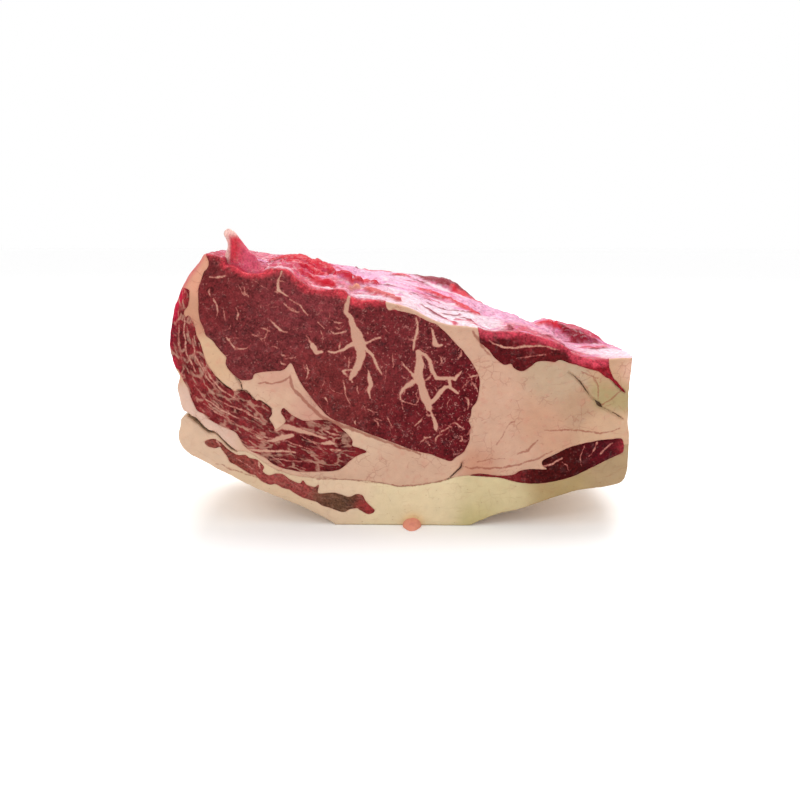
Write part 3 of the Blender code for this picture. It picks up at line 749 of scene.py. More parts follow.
class Section:
    """The roast's plane section.

    Attributes:
        skin: its outline.
        loops: the outlines of the skin and of the tissues, in the order of the Tissue values.
    """

    def __init__(self) -> None:
        """Work out the outlines as dense lines."""
        foot = spaced(np.array(CREASE_FOOT, float), OUTLINE_STEP)
        runs = [
            curve_through(SPINE_SIDE, OUTLINE_STEP),
            spaced(np.array(CREASE_TOP, float), OUTLINE_STEP),
            foot,
            curve_through(CHUCK_LOBE, OUTLINE_STEP),
            spaced(np.array(REST, float), REST_STEP),
            curve_through(BELLY, OUTLINE_STEP),
            curve_through(FLANK, OUTLINE_STEP),
            curve_through(RIB_EDGE, OUTLINE_STEP),
        ]
        self.skin = ragged(np.vstack([run[:-1] for run in runs]))
        below = [curve_through(FAT_SEAM, OUTLINE_STEP), np.array(OUTSIDE, float), foot[:0:-1]]
        self.loops = [self.skin, self._anticlockwise(ragged(np.vstack(below)))]
        for outline in (EYE, CAP, BACK, RIB, LIP):
            self.loops.append(self._anticlockwise(ragged(self._closed(outline))))

    @staticmethod
    def _anticlockwise(loop: np.ndarray) -> np.ndarray:
        """The loop, turned round if it runs clockwise."""
        ahead = np.roll(loop, -1, axis=0)
        return loop if np.sum(loop[:, 0] * ahead[:, 1] - ahead[:, 0] * loop[:, 1]) > 0 else loop[::-1]

    @staticmethod
    def _closed(points: Points) -> np.ndarray:
        """A smooth closed loop through the points.

        Args:
            points: the points, the first not repeated.

        Returns:
            The loop's points, with none repeated.
        """
        line = curve_through(points[-3:] + points + points[:3], OUTLINE_STEP)
        gaps = np.linalg.norm(line - np.array(points[0], float), axis=1)
        half = len(line) // 2
        return line[int(np.argmin(gaps[:half])) : half + int(np.argmin(gaps[half:]))]

    def sheet(self, step: float) -> Sheet:
        """Cut the section into triangles.

        The corners are the outlines' points and a lattice of equilateral triangles between them. A
        constrained Delaunay triangulation joins them, which keeps the outlines as edges and tells which
        loops hold a triangle.

        Args:
            step: side of the lattice's triangles.

        Returns:
            The triangles inside the skin.
        """
        counts = [np.arange(len(loop)) for loop in self.loops]
        sides = [np.stack([count, np.roll(count, -1)], axis=1) for count in counts]
        starts = np.cumsum([0] + [len(loop) for loop in self.loops[:-1]])
        edges = np.vstack([side + start for side, start in zip(sides, starts)])
        rims = [list(range(start, start + len(loop))) for start, loop in zip(starts.tolist(), self.loops)]
        points = np.vstack(self.loops + [self._lattice(step)])
        vertices, _, faces, _, _, loops_of = delaunay_2d_cdt(
            list(map(Vector, points.tolist())), edges.tolist(), rims, 0, WELD
        )
        owner = np.array([max(held) if 0 in held else -1 for held in loops_of])
        places = np.array([tuple(v) for v in vertices])
        corners = np.array(faces)[owner >= 0]
        a, b, c = (places[corners[:, i]] for i in range(3))
        doubled = (b[:, 0] - a[:, 0]) * (c[:, 1] - a[:, 1]) - (b[:, 1] - a[:, 1]) * (c[:, 0] - a[:, 0])
        corners[doubled < 0] = corners[doubled < 0][:, ::-1]
        return Sheet(places, corners, owner[owner >= 0])

    def _lattice(self, step: float) -> np.ndarray:
        """Lattice points over the section, a little shaken.

        Args:
            step: side of the lattice's triangles.

        Returns:
            The points, without those close to an outline.
        """
        low = self.skin.min(axis=0) - step
        high = self.skin.max(axis=0) + step
        rows = np.arange(low[1], high[1], step * math.sqrt(0.75))
        columns = np.arange(low[0], high[0], step)
        x, z = np.meshgrid(columns, rows)
        x = x + step / 2 * (np.arange(len(rows)) % 2)[:, None]
        shaken = np.random.default_rng(5).uniform(-SHAKE, SHAKE, (2,) + x.shape) * step
        points = np.stack([(x + shaken[0]).ravel(), (z + shaken[1]).ravel()], axis=1)
        cell = step / 2
        dense = np.vstack([spaced(np.vstack([loop, loop[:1]]), cell / 2) for loop in self.loops])
        round_it = [cell * np.array((i, j)) for i in (-1, 0, 1) for j in (-1, 0, 1)]
        marked = np.unique(np.concatenate([self._cells(dense + off, cell) for off in round_it]))
        return points[~np.isin(self._cells(points, cell), marked)]

    @staticmethod
    def _cells(points: np.ndarray, cell: float) -> np.ndarray:
        """The number of the square cell that holds each point."""
        index = np.floor((points - CORNER) / cell).astype(np.int64)
        return index[:, 0] * KEY_STEP + index[:, 1]


@dataclass(frozen=True)
class Ridge:
    """A fold of the rib side that runs across the roast: a bell across it times a bell along it.

    Attributes:
        height: how high it stands.
        x: the middle of its length.
        behind: how far behind the front cut its crest lies there.
        slant: how much farther back the crest lies for each millimetre to the right.
        width, reach: half-widths of the bells across it and along it.
    """

    height: float
    x: float
    behind: float
    slant: float
    width: float
    reach: float

    def at(self, x: np.ndarray, behind: np.ndarray) -> np.ndarray:
        """Its height at each place."""
        crest = self.behind + self.slant * (x - self.x)
        return self.height * bump(behind, crest, self.width) * bump(x, self.x, self.reach)


@dataclass(frozen=True)
class Warp:
    """How a point of the straight run moves: the rib side rises towards the back and both flanks swell.

    Attributes:
        flank_bulge, spine_bulge: how far the right flank and the left side swell at mid depth.
        rib_first: how far behind the front cut the first rib lay.
        rib_pitch: distance between the ribs.
        rib_hollow: depth of the hollow that each rib left.
        flap_height: how high the flap at the right stands up.
        ridges: the folds across the rib side.
    """

    flank_bulge: float = 4.6
    spine_bulge: float = 1.8
    rib_first: float = 12.0
    rib_pitch: float = 37.0
    rib_hollow: float = 1.5
    flap_height: float = 6.2
    ridges: tuple[Ridge, ...] = (
        Ridge(2.0, -28.0, 25.12, 0.16, 4.5, 34.0),
        Ridge(4.6, 26.0, 80.92, -0.22, 7.0, 13.0),
        Ridge(2.2, 30.0, 62.0, 0.0, 6.0, 20.0),
    )

    def relief(self, x: np.ndarray, behind: np.ndarray) -> np.ndarray:
        """Height added to the rib side: the ribs' hollows as a cosine, the ridges and the raised flap.

        Args:
            x: places across the section.
            behind: distance behind the front cut.

        Returns:
            The heights.
        """
        phase = 2 * np.pi * (behind - self.rib_first - self.rib_pitch / 2) / self.rib_pitch
        hollows = self.rib_hollow * np.cos(phase)
        hollows = hollows * smooth_step(x, -96.0, -60.0) * (1.0 - smooth_step(x, 60.0, 100.0))
        hollows = hollows * (1.0 - smooth_step(x, -24.0, -10.0) * (1.0 - smooth_step(x, 30.0, 46.0)))
        flap = self.flap_height * smooth_step(behind, 52.0, 66.0) * smooth_step(x, 70.0, 84.0)
        flap = flap * (1.0 - smooth_step(x, 100.0, 111.0))
        folds = sum(ridge.at(x, behind) for ridge in self.ridges)
        return smooth_step(behind, 0.0, 14.0) * (hollows + folds + flap)

    def at(self, x: np.ndarray, behind: np.ndarray, z: np.ndarray) -> tuple[np.ndarray, np.ndarray]:
        """Where points of the straight run go.

        Heights are scaled from the floor so that the rib edge runs from its front height to its back height.

        Args:
            x, z: places in the section.
            behind: distance behind the front cut.

        Returns:
            The new x and z.
        """
        share = behind / DEPTH
        front = height_at(RIB_EDGE, x)
        risen = z * (1.0 + share * (height_at(BACK_EDGE, x) / front - 1.0))
        risen = risen + np.clip(z / front, 0.0, 1.2) ** 5 * self.relief(x, behind)
        swell = np.sin(np.pi * np.clip(share, 0.0, 1.0)) ** 0.6
        flank = self.flank_bulge * smooth_step(x, 88.0, 111.0)
        flank = flank - self.spine_bulge * smooth_step(-x, 80.0, 112.0)
        return x + swell * flank, risen

    def points(self, x: np.ndarray, behind: np.ndarray, z: np.ndarray) -> np.ndarray:
        """Points of the roast from their warped places, in the frame's axes and on or above the floor."""
        return np.stack([x - CENTRE_X, behind + FRONT_Y, np.maximum(z, 0.0)], axis=1)


@dataclass
class Build:
    """A mesh in the making: points in millimetres and, for each kind of face, its rows of indices."""

    points: np.ndarray
    quads: np.ndarray
    triangles: np.ndarray
    strips: list[list[int]] = field(default_factory=list)

    def mesh(self, name: str, flat_from: int | None = None) -> bpy.types.Mesh:
        """Write the mesh.

        Args:
            name: its name.
            flat_from: the first quad that is shaded flat, as all later quads and all strips then are.

        Returns:
            The mesh, in metres.
        """
        sizes = np.concatenate([
            np.full(len(self.quads), 4), np.full(len(self.triangles), 3),
            np.array([len(strip) for strip in self.strips], np.int64),
        ]).astype(np.int32)
        loops = np.concatenate(
            [self.quads.ravel(), self.triangles.ravel()] + [np.array(strip) for strip in self.strips]
        ).astype(np.int32)
        mesh = bpy.data.meshes.new(name)
        mesh.vertices.add(len(self.points))
        mesh.vertices.foreach_set("co", (self.points * MM).astype(np.float32).ravel())
        mesh.loops.add(len(loops))
        mesh.loops.foreach_set("vertex_index", loops)
        mesh.polygons.add(len(sizes))
        mesh.polygons.foreach_set("loop_start", (np.cumsum(sizes) - sizes).astype(np.int32))
        smooth = np.ones(len(sizes), bool)
        if flat_from is not None:
            smooth[flat_from : len(self.quads)] = False
            smooth[len(self.quads) + len(self.triangles) :] = False
        mesh.polygons.foreach_set("use_smooth", smooth)
        mesh.update(calc_edges=True)
        mesh.validate()
        return mesh


def paint(mesh: bpy.types.Mesh, **layers: np.ndarray) -> None:
    """Store values on the mesh's points: one number each as a float layer, three as a colour layer.

    Args:
        mesh: the mesh.
        layers: arrays by layer name, one row for each point.
    """
    for name, values in layers.items():
        if values.ndim == 1:
            layer = mesh.attributes.new(name, "FLOAT", "POINT")
            layer.data.foreach_set("value", values.astype(np.float32))
        else:
            layer = mesh.attributes.new(name, "FLOAT_VECTOR", "POINT")
            layer.data.foreach_set("vector", values.astype(np.float32).ravel())


def placed(mesh: bpy.types.Mesh, material: bpy.types.Material, node: str) -> bpy.types.Object:
    """Put a mesh in the scene as a piece that stands for a frame node.

    Args:
        mesh: its mesh, which gives its name.
        material: its material.
        node: the frame's node that it stands for.

    Returns:
        The piece.
    """
    thing = bpy.data.objects.new(mesh.name, mesh)
    bpy.context.scene.collection.objects.link(thing)
    mesh.materials.append(material)
    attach(thing, "root")
    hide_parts(node)
    return thing


class Signal:
    """A value on its way through a shader, which Python's operators join to others."""

    def __init__(self, graph: "Graph", socket: bpy.types.NodeSocket) -> None:
        """Keep the socket and the graph that it belongs to."""
        self.graph = graph
        self.socket = socket

    def __add__(self, other: "Signal | float") -> "Signal":
        """This plus other."""
        return self.graph.math("ADD", self, other)

    __radd__ = __add__

    def __sub__(self, other: "Signal | float") -> "Signal":
        """This less other."""
        return self.graph.math("SUBTRACT", self, other)

    def __rsub__(self, other: float) -> "Signal":
        """Other less this."""
        return self.graph.math("SUBTRACT", other, self)

    def __mul__(self, other: "Signal | float") -> "Signal":
        """This times other."""
        return self.graph.math("MULTIPLY", self, other)

    __rmul__ = __mul__

    def rise(self, low: float, high: float) -> "Signal":
        """0 below low, 1 above high, with a smooth rise between. A low above high falls instead."""
        inputs = {0: self, 1: low, 2: high, 3: 0.0, 4: 1.0}
        return self.graph.add("ShaderNodeMapRange", 0, inputs, interpolation_type="SMOOTHSTEP")


class Graph:
    """The node tree of one material, written as Python expressions."""

    def __init__(self, name: str) -> None:
        """Start a material whose tree holds only its surface shader.

        Args:
            name: the material's name.
        """
        self.material = bpy.data.materials.new(name)
        self.material.use_nodes = True
        self.tree = self.material.node_tree
        self.surface = self.tree.nodes["Principled BSDF"]

    def add(
        self, kind: str, output: int | str, inputs: dict[int | str, object], **settings: object
    ) -> Signal:
        """Add a node.

        Args:
            kind: its type.
            output: the number or name of the output that is wanted.
            inputs: its sockets by number or name, each a Signal or a constant.
            settings: its properties by name.

        Returns:
            The output's signal.
        """
        node = self.tree.nodes.new(kind)
        for name, value in settings.items():
            setattr(node, name, value)
        self.feed(node, inputs)
        return Signal(self, node.outputs[output])

    def feed(self, node: bpy.types.Node, inputs: dict[int | str, object]) -> None:
        """Link or set a node's inputs.

        Args:
            node: the node.
            inputs: its sockets by number or name, each a Signal or a constant.
        """
        for key, value in inputs.items():
            if isinstance(value, Signal):
                self.tree.links.new(value.socket, node.inputs[key])
            else:
                node.inputs[key].default_value = value

    def math(self, operation: str, a: "Signal | float", b: "Signal | float") -> Signal:
        """A number worked out from two."""
        return self.add("ShaderNodeMath", 0, {0: a, 1: b}, operation=operation)

    def layer(self, name: str) -> Signal:
        """A number stored on the mesh's points."""
        return self.add("ShaderNodeAttribute", "Fac", {}, attribute_name=name)

    def vectors(self, name: str) -> Signal:
        """A vector or colour stored on the mesh's points."""
        return self.add("ShaderNodeAttribute", "Vector", {}, attribute_name=name)

    def places(self) -> Signal:
        """The object's own coordinates, in millimetres."""
        source = self.add("ShaderNodeTexCoord", "Object", {})
        return self.stretched(source, (1.0 / MM, 1.0 / MM, 1.0 / MM))

    def stretched(self, source: Signal, by: tuple[float, float, float]) -> Signal:
        """A vector multiplied axis by axis."""
        return self.add("ShaderNodeVectorMath", 0, {0: source, 1: by}, operation="MULTIPLY")

    def shifted(self, source: Signal, by: Signal, amount: float) -> Signal:
        """A vector moved by a multiple of another."""
        inputs = {0: by, 1: (amount, amount, amount), 2: source}
        return self.add("ShaderNodeVectorMath", 0, inputs, operation="MULTIPLY_ADD")

    def noise(self, source: Signal, size: float, detail: float = 2.0, rough: float = 0.55) -> Signal:
        """Cloudy noise about 0.5, with clouds of the given size."""
        inputs = {"Vector": source, "Scale": 1.0 / size, "Detail": detail, "Roughness": rough}
        return self.add("ShaderNodeTexNoise", 0, inputs)

    def drift(self, source: Signal, size: float) -> Signal:
        """A cloudy vector about (0.5, 0.5, 0.5)."""
        return self.add("ShaderNodeTexNoise", 1, {"Vector": source, "Scale": 1.0 / size, "Detail": 2.0})

    def cells(self, source: Signal, size: float, feature: str = "F1") -> Signal:
        """Distance from the middles or, with DISTANCE_TO_EDGE, the edges of random cells, in cell sizes."""
        inputs = {"Vector": source, "Scale": 1.0 / size}
        return self.add("ShaderNodeTexVoronoi", "Distance", inputs, feature=feature)

    def blend(self, share: "Signal | float", a: "Signal | Colour", b: "Signal | Colour") -> Signal:
        """Colour a turned towards colour b by a share."""
        a, b = (c if isinstance(c, Signal) else (*c, 1.0) for c in (a, b))
        return self.add("ShaderNodeMix", 2, {0: share, 6: a, 7: b}, data_type="RGBA")

    def tinted(self, colour: Signal, brightness: Signal) -> Signal:
        """A colour times a number."""
        return self.add("ShaderNodeVectorMath", 0, {0: colour, "Scale": brightness}, operation="SCALE")

    def raised(self, height: Signal, strength: float, distance: float) -> Signal:
        """The surface's normal over a relief, whose height of 1 is a distance in millimetres."""
        inputs = {"Height": height, "Strength": strength, "Distance": distance * MM}
        return self.add("ShaderNodeBump", 0, inputs)


WHITE_FILM = tone(252, 228, 236, TOP_GAIN)
LILAC = tone(224, 110, 178, TOP_GAIN)
CRIMSON = tone(212, 34, 66, TOP_GAIN)


def membrane(g: Graph, place: Signal, film: Signal) -> Signal:
    """Colour of the outside: the stored tone, clouded, with red, lilac and white streaks on the rib side.

    Args:
        g: the material's graph.
        place: the surface's coordinates in millimetres.
        film: cloudy noise that also shapes the relief.

    Returns:
        The colour.
    """
    rosy = g.layer("rosy")
    colour = g.tinted(g.vectors("tone"), 1.0 + (film - 0.5) * (0.3 + 1.6 * rosy))
    red = g.noise(place, 4.6, 4.0, 0.65).rise(0.57, 0.66)
    lilac = g.noise(g.shifted(place, g.drift(place, 3.0), 3.0), 3.6, 3.0, 0.6).rise(0.54, 0.68)
    thread = g.noise(g.stretched(place, (0.3, 1.0, 1.0)), 1.5, 4.0, 0.62).rise(0.57, 0.67)
    colour = g.blend(0.45 * rosy * red, colour, CRIMSON)
    colour = g.blend(0.45 * rosy * lilac, colour, LILAC)
    return g.blend(0.55 * rosy * thread, colour, WHITE_FILM)


@dataclass(frozen=True)
class LeanFinish:
    """Wet raw muscle, cut across the grain, under a rosy membrane on the rib side.

    Attributes:
        name: the material's name.
        bundle: width of a bundle of fibres.
        stretch: how much longer than wide the bundles look along the muscle.
        flecks: strength of the fine pale dots and curled threads.
        web: strength of the pale net and streaks between the bundles.
        clouds: how much lighter and darker whole areas are.
        vein, vein_deep: colours of the veins' middles and edges.
        fleck, blood: colours of the flecks and of dark lines.
    """

    name: str
    bundle: float = 2.1
    stretch: float = 1.25
    flecks: float = 0.7
    web: float = 0.0
    clouds: float = 0.3
    vein: Colour = tone(208, 160, 138, CUT_GAIN)
    vein_deep: Colour = tone(168, 92, 86, CUT_GAIN)
    fleck: Colour = tone(198, 132, 122, CUT_GAIN)
    blood: Colour = tone(84, 30, 34, CUT_GAIN)

    def cut(self, g: Graph, place: Signal, fine: Signal) -> tuple[Signal, Signal]:
        """Colour and relief of the cut.

        Args:
            g: the material's graph.
            place: the surface's coordinates in millimetres.
            fine: the finest noise.

        Returns:
            The colour, and a height of about 0 to 1.
        """
        grain = g.stretched(g.vectors("grain"), (1.0 / self.stretch, 1.0, 1.0))
        grain = g.shifted(grain, g.drift(place, 4.0), 1.6)
        bundle = g.noise(grain, self.bundle, 3.0, 0.6).rise(0.30, 0.70)
        cloud = g.noise(place, 9.0, 2.0).rise(0.3, 0.7) - 0.5
        lean = g.tinted(g.vectors("tone"), 0.35 + 0.78 * fine + 0.54 * bundle + self.clouds * cloud)
        curl = g.math("ABSOLUTE", g.noise(grain, 4.6, 3.0) - 0.5, 0.0).rise(0.026, 0.006)
        curl = curl * g.noise(place, 3.0).rise(0.50, 0.62)
        dot = g.cells(place, 2.1).rise(0.26, 0.12) * g.noise(place, 4.0).rise(0.44, 0.58)
        spot = g.noise(place, 1.1, 2.0, 0.6).rise(0.64, 0.72)
        fleck = (0.75 * curl + dot + 0.8 * spot) * g.layer("fleck") * self.flecks
        lean = g.blend(g.math("MINIMUM", fleck, 0.9), lean, self.fleck)
        torn = g.shifted(grain, g.drift(grain, 2.4), 2.0)
        web = g.cells(torn, 2.3 * self.bundle, "DISTANCE_TO_EDGE").rise(0.11, 0.02)
        web = web * g.noise(place, 5.0).rise(0.42, 0.56)
        streak = g.noise(g.stretched(torn, (0.18, 1.0, 1.0)), 1.4, 3.0, 0.6).rise(0.56, 0.67)
        pale_net = g.math("MINIMUM", 0.85 * web + 0.6 * streak, 1.0) * self.web
        lean = g.blend(pale_net, lean, self.vein)
        edge = g.noise(place, 0.8, 3.0, 0.65) - 0.5
        vein = (g.layer("vein") + 0.9 * edge).rise(-0.16, 0.14)
        pale = g.blend((g.layer("vein") + edge).rise(0.05, 0.55), self.vein_deep, self.vein)
        lean = g.blend(vein * 0.96, lean, pale)
        line = (g.layer("line") + 0.5 * edge).rise(-0.22, 0.12)
        relief = 0.55 * fine + 0.6 * bundle + 0.4 * vein - 0.5 * line
        return g.blend(line * 0.85, lean, self.blood), relief

    def material(self) -> bpy.types.Material:
        """Build the material."""
        g = Graph(self.name)
        place = g.places()
        skin = g.layer("skin")
        fine = g.noise(place, 0.95, 4.0, 0.7).rise(0.30, 0.70)
        film = g.noise(place, 1.9, 4.0, 0.64)
        cut, relief = self.cut(g, place, fine)
        wet = g.noise(place, 3.0).rise(0.54, 0.64)
        g.feed(g.surface, {
            "Base Color": g.blend(skin, cut, membrane(g, place, film)),
            "Roughness": 0.46 + 0.14 * fine - 0.14 * skin,
            "Coat Weight": 0.03 + wet * (0.18 + 0.24 * skin),
            "Coat Roughness": 0.14,
            "Specular IOR Level": 0.03,
            "Subsurface Weight": 0.06,
            "Subsurface Radius": (1.0, 0.20, 0.14),
            "Subsurface Scale": 0.6 * MM,
            "Normal": g.raised(relief * (1.0 - skin) + 2.0 * film * skin, 0.6, 0.45),
        })
        return g.material


@dataclass(frozen=True)
class FatFinish:
    """Raw fat: waxy and smooth on the cut, faintly lobed, with pink lines where it meets the lean.

    Attributes:
        name: the material's name.
        lobe: width of a lobe.
        rough: roughness of the clean cut.
        blush: strength of the pink clouds.
        crazing: strength of the fine brown cracks.
        pink, blood, seam: colours of the edge towards the lean, of cracks and of folds.
    """

    name: str
    lobe: float = 2.6
    rough: float = 0.42
    blush: float = 0.2
    crazing: float = 0.3
    pink: Colour = tone(206, 124, 110, CUT_GAIN)
    blood: Colour = tone(64, 38, 28, CUT_GAIN)
    seam: Colour = tone(148, 80, 66, CUT_GAIN)

    def cut(self, g: Graph, place: Signal, fine: Signal) -> tuple[Signal, Signal]:
        """Colour and relief of the cut.

        Args:
            g: the material's graph.
            place: the surface's coordinates in millimetres.
            fine: the finest noise.

        Returns:
            The colour, and a height of about 0 to 1.
        """
        grain = g.shifted(g.vectors("grain"), g.drift(place, 5.0), 2.2)
        cloud = g.noise(place, 7.0, 3.0)
        lobes = g.cells(g.shifted(place, g.drift(place, 1.6), 1.2), self.lobe, "SMOOTH_F1")
        folds = g.noise(g.stretched(grain, (0.12, 1.0, 1.0)), 1.3, 3.0, 0.6)
        fat = g.tinted(g.vectors("tone"), 0.78 + 0.14 * fine + 0.22 * cloud + 0.08 * lobes)
        fat = g.blend(self.blush * g.noise(place, 4.5, 3.0).rise(0.52, 0.72), fat, self.pink)
        fat = g.blend(0.18 * folds.rise(0.60, 0.72), fat, self.seam)
        cracked = g.cells(g.shifted(place, g.drift(place, 2.0), 1.8), 4.4, "DISTANCE_TO_EDGE")
        crazed = cracked.rise(0.05, 0.01) * g.noise(place, 9.0).rise(0.50, 0.60)
        fat = g.blend(self.crazing * crazed, fat, self.seam)
        pit = g.cells(place, 3.4).rise(0.12, 0.05)
        fat = g.blend(0.3 * pit, fat, self.seam)
        edge = g.noise(place, 0.8, 3.0, 0.65) - 0.5
        meets = (g.layer("rim") + 0.9 * edge).rise(0.62, 0.0) * g.noise(place, 5.0).rise(0.3, 0.6)
        fat = g.blend(0.5 * meets, fat, self.pink)
        seam = (g.layer("vein") + 0.9 * edge).rise(-0.42, 0.25)
        fat = g.blend(0.7 * seam, fat, self.seam)
        line = (g.layer("line") + 0.5 * edge).rise(-0.12, 0.10)
        relief = 0.30 * fine + 0.6 * lobes + 0.5 * folds - 0.6 * line - 0.5 * crazed
        return g.blend(line * 0.92, fat, self.blood), relief

    def material(self) -> bpy.types.Material:
        """Build the material."""
        g = Graph(self.name)
        place = g.places()
        skin = g.layer("skin")
        fine = g.noise(place, 0.6, 4.0, 0.65)
        film = g.noise(place, 1.9, 4.0, 0.6)
        cut, relief = self.cut(g, place, fine)
        g.feed(g.surface, {
            "Base Color": g.blend(skin, cut, membrane(g, place, film)),
            "Roughness": self.rough + 0.16 * fine,
            "Coat Weight": 0.05 + 0.28 * g.noise(place, 4.0).rise(0.52, 0.66),
            "Coat Roughness": 0.2,
            "Specular IOR Level": 0.05,
            "Subsurface Weight": 0.10,
            "Subsurface Radius": (1.0, 0.55, 0.36),
            "Subsurface Scale": 1.0 * MM,
            "Normal": g.raised(relief * (1.0 - skin) + 1.4 * film * skin, 0.45, 0.4),
        })
        return g.material


# Colours of the tissues on the cut, by x and z
EYE_TONES = patches(
    (-70, 100, 26, 112, 50, 52), (-35, 75, 22, 118, 50, 50), (-46, 110, 16, 128, 58, 62),
    (28, 62, 18, 100, 33, 38), (5, 50, 16, 106, 38, 42), (-5, 95, 22, 112, 46, 49),
    (-88, 112, 12, 112, 44, 46),
)
CAP_TONES = patches(
    (-104, 95, 12, 128, 46, 49), (-96, 72, 12, 122, 44, 46), (-76, 55, 14, 118, 44, 46),
    (-40, 38, 14, 110, 38, 41),
)
BACK_TONES = patches(
    (-88, 40, 10, 136, 66, 58), (-56, 22, 14, 149, 70, 66), (-31, 12, 8, 99, 71, 55),
    (-39, 15, 5, 102, 72, 56), (-16, 9, 6, 150, 58, 58),
)
RIB_TONES = patches(
    (50, 86, 9, 94, 32, 35), (72, 86, 12, 98, 34, 36), (62, 98, 5, 178, 56, 70), (88, 90, 6, 160, 44, 56),
    (100, 80, 6, 138, 36, 44),
)
LIP_TONES = patches(
    (50, 26, 9, 118, 42, 44), (78, 32, 12, 74, 24, 28), (102, 40, 9, 84, 28, 34), (111, 43, 4, 160, 56, 62),
)
SEAM_TONES = patches(
    (-97, 127, 7, 222, 160, 134), (-100, 106, 6, 200, 146, 120), (-90, 84, 8, 213, 174, 141),
    (-66, 68, 12, 213, 175, 149), (-62, 75, 6, 203, 148, 130), (-44, 60, 8, 204, 156, 136),
    (0, 34, 16, 209, 170, 145), (46, 66, 14, 207, 165, 141), (46, 44, 12, 206, 165, 141),
    (66, 56, 9, 200, 154, 127), (72, 76, 10, 191, 162, 135), (86, 62, 6, 187, 150, 122),
    (102, 68, 6, 172, 152, 110), (105, 80, 7, 202, 160, 130), (100, 53, 6, 204, 166, 136),
    (-98, 54, 8, 217, 182, 164), (40, 34, 6, 196, 138, 112), (111, 80, 4, 232, 184, 164),
    (-14, 42, 7, 214, 180, 154),
)
FAT_CAP_TONES = patches(
    (-98, 44, 14, 203, 172, 147), (-64, 22, 16, 206, 178, 148), (-30, 20, 12, 212, 184, 156),
    (6, 12, 18, 216, 196, 160), (46, 14, 14, 200, 182, 142), (80, 21, 12, 163, 139, 98),
    (104, 28, 10, 164, 138, 106), (6, 1.5, 4, 224, 176, 96), (40, 3, 8, 184, 170, 118),
)

# Colours of the rib side, by x and distance behind the front cut
RIB_SIDE_TONES = patches(
    (-84, 14, 12, 206, 62, 84), (-76, 34, 14, 196, 60, 104), (-88, 60, 20, 226, 110, 130),
    (-60, 10, 9, 226, 84, 104), (-58, 34, 12, 214, 66, 98), (-54, 64, 14, 239, 132, 160),
    (-36, 12, 10, 236, 120, 136), (-34, 62, 16, 240, 160, 198), (-14, 50, 14, 242, 170, 206),
    (-24, 40, 8, 246, 176, 204), (-20, 76, 14, 246, 194, 220), (-18, 12, 10, 246, 176, 196),
    (0, 60, 12, 248, 190, 214), (6, 12, 12, 252, 214, 224), (26, 20, 18, 252, 226, 234),
    (12, 36, 9, 244, 176, 208), (24, 60, 12, 240, 150, 186), (24, 76, 6, 236, 130, 160),
    (48, 42, 10, 232, 130, 172), (44, 64, 12, 244, 178, 208), (62, 12, 10, 222, 84, 104),
    (60, 50, 14, 244, 176, 208), (82, 12, 9, 214, 76, 92), (84, 40, 14, 243, 164, 192),
    (92, 72, 12, 206, 66, 92), (104, 26, 10, 255, 226, 236), (80, 74, 9, 240, 130, 160),
)
RED = (226, 44, 62)
DEEP_RED = (150, 26, 48)
RIM_RED = (206, 64, 84)
SALMON = (226, 96, 96)
FILM = (252, 222, 232)
